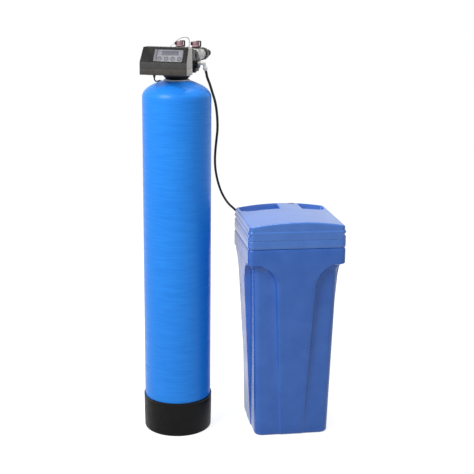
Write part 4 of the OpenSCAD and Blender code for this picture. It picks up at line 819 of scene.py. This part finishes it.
@dataclass
class ResinTank:
    """The wound vessel, its boot and the pale insert in its mouth."""

    radius: float = 128.5
    dome: float = 64.0
    lift: float = 10.0
    spring_high: float = 1299.0
    build_up: float = 2.0
    boot_rim: float = 132.7
    boot_foot: float = 130.3
    mouth_r: float = 48.0
    mouth_z: float = 1358.6

    def vessel(self) -> None:
        """Spin the vessel: a domed foot, a straight side and a domed shoulder up to the insert."""
        spring_low = self.lift + self.dome
        foot = [(self.radius * math.sin(math.radians(a)), spring_low - self.dome * math.cos(math.radians(a)))
                for a in range(0, 91, 5)]
        side = [(self.radius, z) for z in range(140, 1290, 60)]
        shoulder = [(self.radius * math.cos(math.radians(a)), self.spring_high + self.dome * math.sin(math.radians(a)))
                    for a in [k * 2.5 for k in range(27)]]
        shoulder = [(r, z + self.build_up * smooth((80 - r) / 28)) for r, z in shoulder]
        mouth = [(self.mouth_r, self.mouth_z), (0, self.mouth_z)]
        vessel = turn("wound_vessel", foot + side + shoulder + mouth, 160)
        hand_over(vessel, WOUND_GLASS, Body.ROOT, "resin_tank", angle=50)

    def boot(self) -> None:
        """Spin the cup the vessel stands in, with a rolled rim and a rounded foot."""
        profile = [(0, 0), (118, 0)] + arc((self.boot_foot - 8, 8), 8, -90, 0, 6)
        profile += [(131.4, 60), (132.2, 118), (132.2, 126), (131.7, 127.2), (131.7, 128.6), (132.3, 129.8)]
        profile += [(self.boot_rim, 136.2)] + arc((self.boot_rim - 1.3, 136.7), 1.3, 0, 180, 6)
        profile += [(129.8, 134), (129.4, 60), (126, 22), (110, 8), (0, 8)]
        hand_over(turn("tank_cup", profile, 144), BOOT_PLASTIC, Body.ROOT, "tank_boot")

    def build(self) -> None:
        """Build and dress the whole sub-assembly."""
        self.vessel()
        self.boot()
        refine("neck_collar", COLLAR_PLASTIC, 0.5)


# Control head


@dataclass
class ControlHead:
    """The box with its charcoal cover, pale housing, display and keys."""

    left: float = -94.5
    right: float = 83.5
    draw_left: float = 5.0
    draw_right: float = 2.0
    front: float = -130.0
    back: float = -59.0
    low: float = 1387.0
    crease: float = 1432.0
    top: float = 1485.0
    slope_run: float = 27.0
    wrap: float = 8.0
    part: float = 0.7
    groove: float = 1410.0
    slope_x: float = -5.5
    panel_x: float = 23.0
    panel_v: float = 28.54
    panel_size: tuple[float, float] = (98.0, 46.0)
    lcd_v: float = 37.54
    lcd_size: tuple[float, float] = (64.0, 18.0)
    key_v: float = 16.54
    key_pitch: float = 25.0
    key_d: float = 13.4
    ring_d: float = 17.4
    ramp: float = 11.0
    ramp_depth: float = 2.2
    ramp_rise: float = 1.9

    def slope_normal(self) -> Vector:
        """Outward normal of the sloping front."""
        return Vector((0, self.crease - self.top, self.slope_run)).normalized()

    def prism(self, name: str, shift: float, grow: float) -> bpy.types.Object:
        """A block with the box's sloping front, moved back and grown at its other sides.

        Args:
            name: the piece's name.
            shift: how far its front is moved back.
            grow: how far its other sides stand out.

        Returns:
            The piece, in edit mode.
        """
        piece = block(name, (self.left - grow, self.front + shift, self.low - grow),
                      (self.right + grow, self.back + grow, self.top + grow))
        bpy.ops.mesh.bisect(plane_co=(0, (self.front + shift) * MM, self.crease * MM), plane_no=self.slope_normal(),
                            clear_outer=True, use_fill=True)
        return piece

    def shell(self) -> bpy.types.Object:
        """The whole box's outside, a little drawn in at its top, with rounded edges and the groove round its band."""
        piece = self.prism("box", 0, 0)
        shape = bmesh.from_edit_mesh(piece.data)
        for vert in shape.verts:
            if vert.co.z > (self.crease + 1) * MM:
                vert.co.x += (self.draw_left if vert.co.x < 0 else -self.draw_right) * MM
        bmesh.update_edit_mesh(piece.data)
        crease = lambda edge: abs(middle(edge).y - self.front) < 0.1 and abs(middle(edge).z - self.crease) < 0.1
        round_edges(piece, 2.4, 4, lambda edge: not crease(edge))
        round_edges(piece, 1.0, 2, lambda edge: crease(edge) and edge.calc_length() > 0.1)
        for z in (self.groove - 0.8, self.groove + 0.8):
            bpy.ops.mesh.select_all(action="SELECT")
            bpy.ops.mesh.bisect(plane_co=(0, 0, z * MM), plane_no=(0, 0, 1))
        pick(piece, "FACE", lambda face: abs(middle(face).z - self.groove) < 0.7 and abs(face.normal.z) < 0.3)
        bpy.ops.mesh.inset(thickness=0.0002, depth=-0.0009)
        deselect()
        return piece

    def on_slope(self, piece: bpy.types.Object) -> bpy.types.Object:
        """Lay a piece made flat, with X to the right, Y up the slope and Z out of it, on the sloping front."""
        tilt = math.degrees(math.atan2(self.top - self.crease, self.slope_run))
        settle(piece, (tilt, 0, 0), (self.slope_x, self.front, self.crease))
        return to_head(piece)

    def off_slope(self, place: Vector) -> Vector:
        """A place on the turned head, given across, up and out of the sloping front, in millimetres."""
        level = Matrix.Rotation(math.radians(-HEAD_TURN), 3, "Z") @ place / MM
        level -= Vector((self.slope_x, self.front, self.crease))
        return Matrix.Rotation(-math.atan2(self.top - self.crease, self.slope_run), 3, "X") @ level

    def plate(self, name: str, middle_at: tuple[float, float], size: tuple[float, float], low: float, high: float,
              corner: float, edge: float) -> bpy.types.Object:
        """A flat plate with rounded corners, made flat for the slope.

        Args:
            name: the piece's name.
            middle_at: its middle across and up the slope.
            size: its width and height.
            low: its back, out of the slope.
            high: its face, out of the slope.
            corner: the radius of its corners.
            edge: the rounding of its face's edge, or 0.

        Returns:
            The piece, in edit mode.
        """
        x, v = middle_at
        piece = block(name, (x - size[0] / 2, v - size[1] / 2, low), (x + size[0] / 2, v + size[1] / 2, high))
        round_edges(piece, corner, 6, lambda e: abs(e.verts[0].co.z - e.verts[1].co.z) > 0.9 * (high - low) * MM)
        if edge:
            round_edges(piece, edge, 2, lambda e: all(abs(v.co.z / MM - high) < 0.01 for v in e.verts)
                        and any(abs(f.normal.z) < 0.5 for f in e.link_faces))
        return piece

    def grown(self, size: tuple[float, float], by: float) -> tuple[float, float]:
        """A width and height, both changed by the same length."""
        return size[0] + by, size[1] + by

    def key_place(self, index: int) -> Point:
        """Middle of a key on the slope, counted from the left."""
        return self.panel_x + (index - 1.5) * self.key_pitch, self.key_v, 0

    def panel_edge(self) -> float:
        """Left edge of the panel across the slope."""
        return self.panel_x - self.panel_size[0] / 2

    def cover_finish(self, face: bpy.types.MeshPolygon) -> Finish:
        """The finish of one face of the cover, by where it lies.

        Args:
            face: the face, on the turned head.

        Returns:
            The panel's pale grey on the ramp at the panel's left edge as a painted highlight, black film on the slope,
            black on the downward faces along the box's bottom edge as painted shade, and the two greys of the band.
        """
        across, up, out = self.off_slope(face.center)
        z = face.center.z / MM
        edge = self.panel_edge()
        # The ramp left of the panel takes the panel's pale grey: a painted highlight on that slope.
        if edge - self.ramp < across < edge - 1.4 and -2.4 < out < -0.15 and face.normal.z > 0.2:
            return PANEL_FILM_AND_RAMP_HIGHLIGHT
        # Downward faces along the box's bottom edge take the black film: a painted shade line under the box.
        if face.normal.z > 0.3 and up > 0.5 or z < self.low + 2.6 and face.normal.z < -0.2:
            return BLACK_FILM_AND_UNDER_SHADE
        return BAND_PLASTIC if z < self.groove - 0.5 else COVER_PLASTIC

    def housing_finish(self, face: bpy.types.MeshPolygon) -> Finish:
        """Black film on the housing's level top, and its pale plastic elsewhere."""
        return BLACK_FILM_AND_UNDER_SHADE if face.normal.z > 0.9 and face.center.z / MM > self.top - 0.5 else HOUSING_PLASTIC

    def cover_and_housing(self) -> None:
        """Part the box along its bent joint line into the dark cover and the pale housing."""
        cover = self.shell()
        housing = copy_of(cover, "head_housing")
        cover.name = "head_cover"
        carve(cover, self.prism("behind_the_joint", self.wrap, 6))
        carve(housing, self.prism("behind_the_gap", self.wrap + self.part, 6), "INTERSECT")
        opening = self.plate("opening", (self.panel_x, self.panel_v), self.grown(self.panel_size, 3.0), -3.2, 4, 8, 0)
        edge = self.panel_edge()
        ramp = block("ramp", (edge - self.ramp, self.panel_v - self.panel_size[1] / 2, -self.ramp_depth),
                     (edge + 4, self.panel_v + self.panel_size[1] / 2, 4))
        pick(ramp, "VERT", lambda vert: middle(vert).x < edge and middle(vert).z < 0)
        bpy.ops.transform.translate(value=(0, 0, self.ramp_rise * MM))
        to_head(cover)
        to_head(housing)
        carve(cover, self.on_slope(opening))
        carve(cover, self.on_slope(ramp))
        work(cover, "BEVEL", width=0.5 * MM, segments=2, limit_method="ANGLE", angle_limit=math.radians(50))
        dress_faces(cover, (COVER_PLASTIC, BAND_PLASTIC, BLACK_FILM_AND_UNDER_SHADE, PANEL_FILM_AND_RAMP_HIGHLIGHT), self.cover_finish)
        hand_over(cover, COVER_PLASTIC, Body.ROOT, "front_cover")
        work(housing, "BEVEL", width=0.4 * MM, segments=2, limit_method="ANGLE", angle_limit=math.radians(50))
        dress_faces(housing, (HOUSING_PLASTIC, BLACK_FILM_AND_UNDER_SHADE), self.housing_finish)
        hand_over(housing, HOUSING_PLASTIC, Body.ROOT, "back_housing")

    def film(self) -> None:
        """The panel's film with its openings, and a dark ring round each key."""
        film = self.plate("panel_film", (self.panel_x, self.panel_v), self.panel_size, -3.0, -1.0, 6, 0.5)
        carve(film, self.plate("window", (self.panel_x, self.lcd_v), self.lcd_size, -4, 2, 1.6, 0))
        for i in range(4):
            hole = self.key_d / 2 + 0.25
            ring = turn("key_ring", [(hole, -4), (hole, 1), (0, 1), (0, -4), (hole, -4)], 48)
            carve(film, settle(ring, (0, 0, 0), self.key_place(i)))
        film.data.materials.append(PANEL_FILM_AND_RAMP_HIGHLIGHT.material())
        inner, outer = self.key_d / 2 + 0.3, self.ring_d / 2
        bezels = []
        for i in range(4):
            bezel = turn("bezel", [(inner, -1.4), (outer, -1.4), (outer, -0.9), (outer - 0.4, -0.6),
                                   (inner + 0.4, -0.6), (inner, -0.9), (inner, -1.4)], 48)
            bezel.data.materials.append(BEZEL_FILM.material())
            bezels.append(settle(bezel, (0, 0, 0), self.key_place(i)))
        hand_over(self.on_slope(join([film] + bezels, "panel_film")), PANEL_FILM_AND_RAMP_HIGHLIGHT, Body.ROOT, "display_panel")

    def window(self) -> None:
        """The liquid crystal window, sunk in its dark frame."""
        place = (self.panel_x, self.lcd_v)
        window = self.plate("display_window", place, self.grown(self.lcd_size, -0.2), -4, -0.8, 1.5, 0.3)
        carve(window, self.plate("pane", place, self.grown(self.lcd_size, -6), -1.5, 2, 1.0, 0))
        dress_faces(window, (BEZEL_FILM, LCD_GLASS),
                    lambda face: LCD_GLASS if face.normal.z > 0.9 and face.center.z / MM < -1.3 else BEZEL_FILM)
        hand_over(self.on_slope(window), LCD_GLASS, Body.ROOT, "lcd_window")

    def keys(self) -> None:
        """The four key caps, each on its own body."""
        rim = self.key_d / 2
        profile = [(0, -4.2), (rim - 0.1, -4.2), (rim - 0.1, -0.8), (rim - 0.4, -0.45), (rim - 0.9, -0.4),
                   (rim - 1.3, -0.55), (rim - 1.6, -0.95), (rim - 2.0, -0.9), (rim - 2.6, -0.75), (0, -0.65)]
        key = turn("key", profile, 48)
        keys = {"menu": Body.MENU, "down": Body.DOWN, "up": Body.UP, "enter": Body.ENTER}
        for i, (name, body) in enumerate(keys.items()):
            cap = settle(copy_of(key, name + "_key_cap"), (0, 0, 0), self.key_place(i))
            hand_over(self.on_slope(cap), KEY_RUBBER, body, name + "_button")
        bpy.data.objects.remove(key)

    def build(self) -> None:
        """Build and dress the whole sub-assembly."""
        self.cover_and_housing()
        self.film()
        self.window()
        self.keys()
        refine("case_screws", SCREW_STEEL, 0.3)
        refine("power_gland", LEAD_PVC, 0.5)


# Valve, bypass and fittings


@dataclass
class ValveGroup:
    """The valve body with its injector, elbows, bypass, nuts and pipe tails."""

    port_x: float = 32.0
    port_z: float = 1446.0
    rotor_y: float = 122.0
    handle_z: float = 1476.0
    tail_start: float = 196.0
    thread_start: float = 213.0
    tail_end: float = 263.0
    tail_r: float = 13.2
    thread_pitch: float = 1.8
    strips: int = 48
    rib_edge: float = 0.15
    rib_depth: float = 0.6
    thumb_low: Point = (-20.0, -5.0, 5.1)
    thumb_high: Point = (-4.0, 5.0, 19.0)
    strap_low: Point = (2.0, -5.0, 19.0)
    strap_high: Point = (20.0, 5.0, 23.0)
    strap_d: float = 4.0
    strap_drop: float = 18.6

    def is_sunk(self, face: bmesh.types.BMFace) -> bool:
        """Whether a face is one of the strips of a barrel's side, every third of which is sunk."""
        place = middle(face)
        strip = round(math.atan2(place.y, place.x) / math.tau * self.strips - 0.5)
        return abs(face.normal.z) < 0.1 and 5.8 < place.z < 19.6 and strip % 3 == 0

    def grip(self) -> bpy.types.Object:
        """The ribbed barrel of a handle on its skirt."""
        piece = turn("grip", [(0, 0.2), (14.4, 0.2), (15, 0.8), (15, 4.2), (14.2, 5), (12.4, 5.2), (12, 5.8),
                              (12, 19.4), (11.4, 20.6), (10.2, 21), (0, 21)], self.strips)
        open_mesh(piece)
        pick(piece, "FACE", self.is_sunk)
        bpy.ops.mesh.inset(thickness=self.rib_edge * MM, depth=-self.rib_depth * MM)
        deselect()
        return piece

    def thumb(self) -> bpy.types.Object:
        """The rounded block on a handle's side."""
        piece = block("thumb", self.thumb_low, self.thumb_high)
        round_edges(piece, 1.8, 3, lambda e: True)
        deselect()
        return piece

    def strap(self) -> bpy.types.Object:
        """The strap that arches over a handle's other side and down it."""
        end, top = self.strap_high[0], self.strap_high[2]
        piece = block("strap", self.strap_low, self.strap_high)
        pick(piece, "FACE", lambda face: face.normal.x > 0.9)
        bpy.ops.transform.translate(value=(-self.strap_d * MM, 0, 0))
        bpy.ops.mesh.extrude_region_move(TRANSFORM_OT_translate={"value": (self.strap_d * MM, 0, 0)})
        pick(piece, "FACE", lambda face: face.normal.z < -0.9 and middle(face).x > end - self.strap_d)
        bpy.ops.mesh.extrude_region_move(TRANSFORM_OT_translate={"value": (0, 0, -self.strap_drop * MM)})
        round_edges(piece, 3.4, 5, lambda e: all(middle(v).z > top - 0.1 and middle(v).x > end - 0.1 for v in e.verts))
        round_edges(piece, 0.7, 2, lambda e: e.calc_face_angle(0) > 0.9)
        deselect()
        return piece

    def handles(self) -> None:
        """Two handles: a rose barrel, with a black thumb block and a strap arched over its other side."""
        for x, body, node in ((-self.port_x, Body.INLET, "inlet_handle"), (self.port_x, Body.OUTLET, "outlet_handle")):
            pieces = (self.grip(), self.thumb(), self.strap())
            for piece, finish in zip(pieces, (HANDLE_PLASTIC, STRAP_PLASTIC, STRAP_PLASTIC)):
                piece.data.materials.append(finish.material())
            handle = join(pieces, node + "_grip")
            settle(handle, (0, 0, 0), (x, self.rotor_y, self.handle_z))
            hand_over(to_head(handle), HANDLE_PLASTIC, body, node)

    def tails(self) -> None:
        """Two threaded pipe tails behind the bypass."""
        root = self.tail_r - 1.1
        start = self.tail_start
        profile = [(9, start + 0.2), (16.4, start + 0.2), (16.4, start + 4), (11.9, start + 4),
                   (11.9, self.thread_start - 0.6)]
        count = int((self.tail_end - 1.5 - self.thread_start) / self.thread_pitch)
        for i in range(count):
            y = self.thread_start + i * self.thread_pitch
            profile += [(root, y), (self.tail_r, y + 0.7), (self.tail_r, y + 1.0), (root, y + 1.65)]
        profile += [(root, self.tail_end), (9, self.tail_end), (9, start + 0.2)]
        tails = []
        for x in (-self.port_x, self.port_x):
            tail = turn("tail", profile, 64)
            settle(tail, (-90, 0, 0), (x, 0, self.port_z))
            tails.append(to_head(tail))
        hand_over(join(tails, "threaded_tails"), VALVE_PLASTIC, Body.ROOT, "pipe_tails", angle=45)

    def build(self) -> None:
        """Build and dress the whole sub-assembly."""
        fittings = (
            ("valve_body", VALVE_PLASTIC, 0.8), ("bypass_body", BYPASS_PLASTIC, 0.8),
            ("rotor_caps", VALVE_PLASTIC, 0.6), ("coupling_nuts", VALVE_PLASTIC, 0.6),
            ("injector_cap", VALVE_PLASTIC, 0.8), ("drain_elbow", VALVE_PLASTIC, 0.5),
            ("brine_elbow", FITTING_PLASTIC, 0.5), ("tube_nuts", FITTING_PLASTIC, 0.5))
        for node, finish, width in fittings:
            refine(node, finish, width)
        self.handles()
        self.tails()


# Brine tank


@dataclass
class BrineTank:
    """The moulded tub with its four raised panels, and its arched lid."""

    foot: float = 144.0
    waist: float = 162.0
    rim: float = 185.0
    foot_round: float = 12.0
    waist_round: float = 26.0
    rim_round: float = 20.0
    band: float = 698.0
    flare_low: float = 680.0
    rim_z: float = 756.0
    wall: float = 4.0
    panel_low: float = 40.0
    panel_high: float = 72.0
    panel_top: float = 690.0
    panel_flare: float = 85.0
    panel_arc: float = 95.0
    step: float = 9.0
    ledge_z: float = 822.0
    ledge: float = 4.0
    side_z: float = 841.0
    crown: float = 857.0
    top_edge: float = 7.0
    side_grip: float = 4.5
    grip_start: float = 168.0
    grip_run: float = 12.0
    pocket_front: float = 70.0
    pocket_back: float = 171.0
    pocket_lip: float = 849.0
    pocket_low: float = 826.0
    pocket_run: float = 8.0
    pocket_left: tuple[float, float] = (-171.0, -15.0)
    pocket_right: tuple[float, float] = (67.0, 171.0)
    corner_start: float = 165.0
    grid_pitch: float = 9.4
    wall_pitch: float = 1.33
    grid_gap: float = 0.28
    pad_x: float = 50.0
    pad_z: float = 640.0

    def foot_inset(self, z: float) -> float:
        """How far the rounded foot draws the wall in at a height."""
        if z >= self.foot_round:
            return 0.0
        return self.foot_round - math.sqrt(self.foot_round ** 2 - (self.foot_round - z) ** 2)

    def flare(self, z: float) -> float:
        """How far the wall has flared out to the rim's band at a height, from 0 to 1."""
        return smooth((z - self.flare_low) / (self.band - self.flare_low))

    def body_half(self, z: float) -> float:
        """Half the width between the raised panels at a height."""
        taper = self.foot + (self.waist - self.foot) * min(1.0, z / self.band)
        return taper + (self.rim - taper) * self.flare(z) - self.foot_inset(z)

    def panel_half(self, z: float) -> float:
        """Half the width across the raised panels at a height."""
        lean = self.foot + 2.5 + (self.rim - self.foot - 2.5) * min(1.0, z / self.panel_top)
        return lean - self.foot_inset(z)

    def panel_edge(self, z: float) -> float:
        """Distance from a panel's middle to its edge at a height: straight up, then flared along an arc."""
        bend = self.panel_top - self.panel_flare
        if z <= bend:
            return self.panel_low + (self.panel_high - self.panel_low) * z / bend
        rise = min(z, self.panel_top) - bend
        return self.panel_high + self.panel_arc - math.sqrt(self.panel_arc ** 2 - rise ** 2)

    def section(self, z: float, inset: float = 0.0) -> list[Point]:
        """The tub's outline at a height, drawn in by an inset.

        Args:
            z: the height.
            inset: how far it is drawn in.

        Returns:
            The points of the ring, from the front's left end round to the right.
        """
        half = self.body_half(z) - inset
        proud = max(half, self.panel_half(z) - inset)
        edge = self.panel_edge(z) - inset
        curl = self.waist_round + (self.rim_round - self.waist_round) * self.flare(z) - inset
        flat = half - curl
        marks = [edge * k / 4 for k in range(4)] + [edge + self.step * k / 8 for k in range(9)]
        last = marks[-1]
        marks += [last + (flat - last) * k / 3 for k in (1, 2, 3)]
        face = [(-t, half + (proud - half) * smooth((edge + self.step - t) / self.step)) for t in reversed(marks)]
        face += [(-t, out) for t, out in reversed(face[:-1])]
        quarter = [(t, -out) for t, out in face]
        for angle in (math.radians(9 * k) for k in range(1, 10)):
            quarter.append((flat + curl * math.sin(angle), -flat - curl * math.cos(angle)))
        ring = []
        for turn_by in range(4):
            for x, y in quarter:
                for _ in range(turn_by):
                    x, y = -y, x
                ring.append((x, y, z))
        return ring

    def square(self, half: float, z: float) -> list[Point]:
        """The outline of a plain rounded square with the points of a section."""
        curl = max(4.0, self.rim_round - (self.rim - half))
        flat = half - curl
        plain = self.section(self.panel_top)
        ring = []
        start = self.section_flat(self.panel_top)
        for x, y, _ in plain:
            ax, ay = abs(x), abs(y)
            if ax > start and ay > start:
                way = Vector((ax - start, ay - start)).normalized()
                px, py = flat + curl * way.x, flat + curl * way.y
            elif ax > ay:
                px, py = half, ay * flat / start
            else:
                px, py = ax * flat / start, half
            ring.append((math.copysign(px, x), math.copysign(py, y), z))
        return ring

    def section_flat(self, z: float) -> float:
        """Where the corner of a section starts."""
        return self.body_half(z) - self.waist_round - (self.rim_round - self.waist_round) * self.flare(z)

    def tub(self) -> None:
        """Loft the tub: up its outside, over its lip and down its inside."""
        heights = [0, 0.35, 1.4, 3.2, 6.0, 9.0, 12.0] + list(range(45, 600, 50))
        heights += [605 + 5 * k for k in range(15)] + [680, 682, 684, 686, 688, 690, 692, 694, 695.5, 697, 698]
        rings = [self.section(z) for z in heights]
        lip = [(0, -56.5), (0, -31), (0, -9), (0.2, -7), (1.2, -4), (2.6, -1.4), (4, 0), (8, 0), (9.1, 0.5), (9.5, 1.5),
               (9.5, 14.4), (10, 15.5), (11, 16), (12.5, 16), (13.3, 15.6), (13.5, 14.8), (13.5, -56)]
        rings += [self.square(self.rim - inset, self.rim_z + rise) for inset, rise in lip]
        rings += [self.section(z, self.wall) for z in (690, 660, 635, 605, 400, 200, 30, 12, 8, 5, 4.2)]
        piece = skin("salt_tub", rings)
        pads = []
        for x in (-self.pad_x, self.pad_x):
            pad = turn("pad", [(0, 168), (18, 168), (18, 184.0), (17.4, 185.0), (16.4, 185.2), (0, 185.2)], 48)
            pads.append(settle(pad, (-90, 0, 0), (x, 0, self.pad_z)))
        piece = join([piece] + pads, "salt_tub")
        hand_over(to_brine(piece), TUB_PLASTIC, Body.ROOT, "brine_tank", angle=40)

    def arch(self, x: float) -> float:
        """Height of the lid's arched top at a distance from its middle."""
        half = self.rim - self.ledge
        rise = self.crown - self.side_z
        radius = (half ** 2 + rise ** 2) / (2 * rise)
        return self.crown - radius + math.sqrt(radius ** 2 - x ** 2)

    def top_height(self, x: float, y: float) -> float:
        """Height of the lid's top, with its two sunken grips."""
        high = self.arch(min(abs(x), self.rim - self.ledge))
        run = self.pocket_run
        depth = (y - self.pocket_front) / (self.pocket_back - self.pocket_front)
        floor = self.pocket_lip + (self.pocket_low - self.pocket_lip) * depth
        along = smooth((self.pocket_back - y) / run) * smooth((y - self.pocket_front) / 6)
        for left, right in (self.pocket_left, self.pocket_right):
            share = smooth((x - left) / run) * smooth((right - x) / run) * along
            if share > 0 and high > floor:
                return high - share * (high - floor)
        return high

    def lid_outline(self, mark: tuple[float, float], half: float) -> tuple[float, float]:
        """A mark on the lid's square, moved to the rounded square of a half-width.

        Args:
            mark: its place across and along on the plain square of the top, in millimetres.
            half: the half-width.

        Returns:
            The place across and along.
        """
        curl = half - self.corner_start
        u, v = mark
        run = self.rim - self.ledge - self.corner_start
        a, b = (max(0.0, (abs(place) - self.corner_start) / run) for place in mark)
        x = self.corner_start + curl * a * math.sqrt(1 - b * b / 2) if a > 0 else abs(u)
        y = self.corner_start + curl * b * math.sqrt(1 - a * a / 2) if b > 0 else abs(v)
        return math.copysign(x, u), math.copysign(y, v)

    def lines(self, walls: Sequence[float]) -> list[float]:
        """Places of the lid's grid lines in one direction, close together at the walls of the grips."""
        half = self.rim - self.ledge
        near = [0, 0.3, 0.9, 1.9, 3.3, 5.0, 7.0, 10.0, 13.0, 16.0]
        found = [-half + d for d in near] + [half - d for d in near]
        found += [w + self.wall_pitch * k for w in walls for k in range(-1, 8)]
        found += [-half + near[-1] + self.grid_pitch * k for k in range(1, 35)]
        found = sorted(f for f in found if abs(f) <= half)
        kept = [found[0]]
        for place in found[1:-1]:
            if place - kept[-1] > self.grid_gap and found[-1] - place > self.grid_gap:
                kept.append(place)
        return kept + [found[-1]]

    def side_place(self, mark: tuple[float, float], inset: float, rise: float, grip: float = 0.0) -> Point:
        """A place on the lid's side, which is drawn in for the fingers at its left and right.

        Args:
            mark: the mark on the lid's square.
            inset: how far the side lies inside the rim.
            rise: its height above the ledge.
            grip: its share of the grip's depth.

        Returns:
            The place.
        """
        drawn = self.side_grip * smooth((abs(mark[0]) - self.grip_start) / self.grip_run) * grip
        return *self.lid_outline(mark, self.rim - inset - drawn), self.ledge_z + rise

    def lid(self) -> None:
        """Shape the lid's top on a grid, draw its sides down from the grid's edge and give it its wall."""
        run = self.pocket_run
        across = self.lines([w for left, right in (self.pocket_left, self.pocket_right) for w in (left, right - run)])
        along = self.lines([self.pocket_front, self.pocket_back - run])
        deselect()
        bpy.ops.mesh.primitive_grid_add(x_subdivisions=len(across) - 1, y_subdivisions=len(along) - 1, size=2.0)
        piece = bpy.context.object
        open_mesh(piece)
        shape = bmesh.from_edit_mesh(piece.data)
        half = self.rim - self.ledge
        marks = {}
        for vert in shape.verts:
            u = across[round((vert.co.x + 1) / 2 * (len(across) - 1))]
            v = along[round((vert.co.y + 1) / 2 * (len(along) - 1))]
            x, y = self.lid_outline((u, v), half)
            edge = half - max(abs(u), abs(v))
            drop = self.top_edge - math.sqrt(self.top_edge ** 2 - max(0.0, self.top_edge - edge) ** 2)
            vert.co = Vector((x, y, self.top_height(x, y) - drop)) * MM
            if edge < 1e-6:
                marks[spot(vert.co)] = (u, v)
        bmesh.update_edit_mesh(piece.data)
        pick(piece, "EDGE", lambda edge: edge.is_boundary)
        sides = [(4, 4), (4, 2.2), (3.6, 1.2), (0.6, -1.4), (0.1, -2.2), (0, -3.6), (0, -9), (0, -11, 0.6),
                 (0, -13.5, 1), (0, -17, 1), (0, -21, 0.5), (0, -24), (0, -30), (0.3, -31.1), (1, -31.5), (1.3, -32.4),
                 (1.3, -33.6), (1, -34.5), (0.3, -34.9), (0, -36), (0, -58), (0.4, -60.4), (1.6, -62.8), (2.8, -64.4),
                 (3.6, -65)]
        lay_rings(piece, marks, [lambda mark, side=side: self.side_place(mark, *side) for side in sides])
        tidy_normals(piece)
        work(piece, "SOLIDIFY", thickness=self.wall * MM, offset=-1.0, use_rim=True)
        piece.name = "salt_lid"
        # The lid's blue is the tub's, painted a shade lighter as painted light on its top.
        hand_over(to_brine(piece), LID_PLASTIC_PAINTED_LIGHTER, Body.LID, "brine_lid", angle=50)

    def build(self) -> None:
        """Build and dress the whole sub-assembly."""
        self.tub()
        self.lid()
        refine("lid_plate", PLATE_PLASTIC, 0.5, Body.LID)
        refine("wall_elbow", FITTING_PLASTIC, 0.5)
        refine("overflow_elbow", FITTING_PLASTIC, 0.5)
        refine("wall_nuts", FITTING_PLASTIC, 0.4)


# Works inside


@dataclass
class InnerWorks:
    """CAD nodes inside the tanks and the head, which keep their shape and get their real finish."""

    def dress(self) -> None:
        """Give each node its material."""
        finishes = {
            INNER_PLASTIC: ("riser_tube", "bottom_strainer", "top_strainer", "injector_nozzle", "salt_grid",
                            "brine_well", "well_cap", "float_valve"),
            RESIN_BEADS: ("resin_bed",),
            SEAL_RUBBER: ("seal_rings",),
            VALVE_PLASTIC: ("valve_bonnet",),
            DISC_CERAMIC: ("fixed_disc", "moving_disc"),
            SHAFT_STEEL: ("disc_shaft", "turbine_axle"),
            GEAR_PLASTIC: ("drive_gear", "motor_pinion", "flow_turbine", "inlet_rotor", "outlet_rotor"),
            MOTOR_STEEL: ("drive_motor",),
            BOARD_RESIN: ("circuit_board",),
            FLOAT_FOAM: ("brine_float", "check_ball"),
        }
        for finish, nodes in finishes.items():
            for node in nodes:
                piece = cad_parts[node]
                piece.data.materials.clear()
                piece.data.materials.append(finish.material())
                LOG.info("%s is dressed in %s", node, finish.name)


def main() -> None:
    """Build the studio, then each sub-assembly in turn."""
    logging.basicConfig(level=logging.INFO, format="%(message)s")
    Studio().build()
    Cords().build()
    ResinTank().build()
    ControlHead().build()
    ValveGroup().build()
    BrineTank().build()
    InnerWorks().dress()
    deselect()


if __name__ == "__main__":
    main()
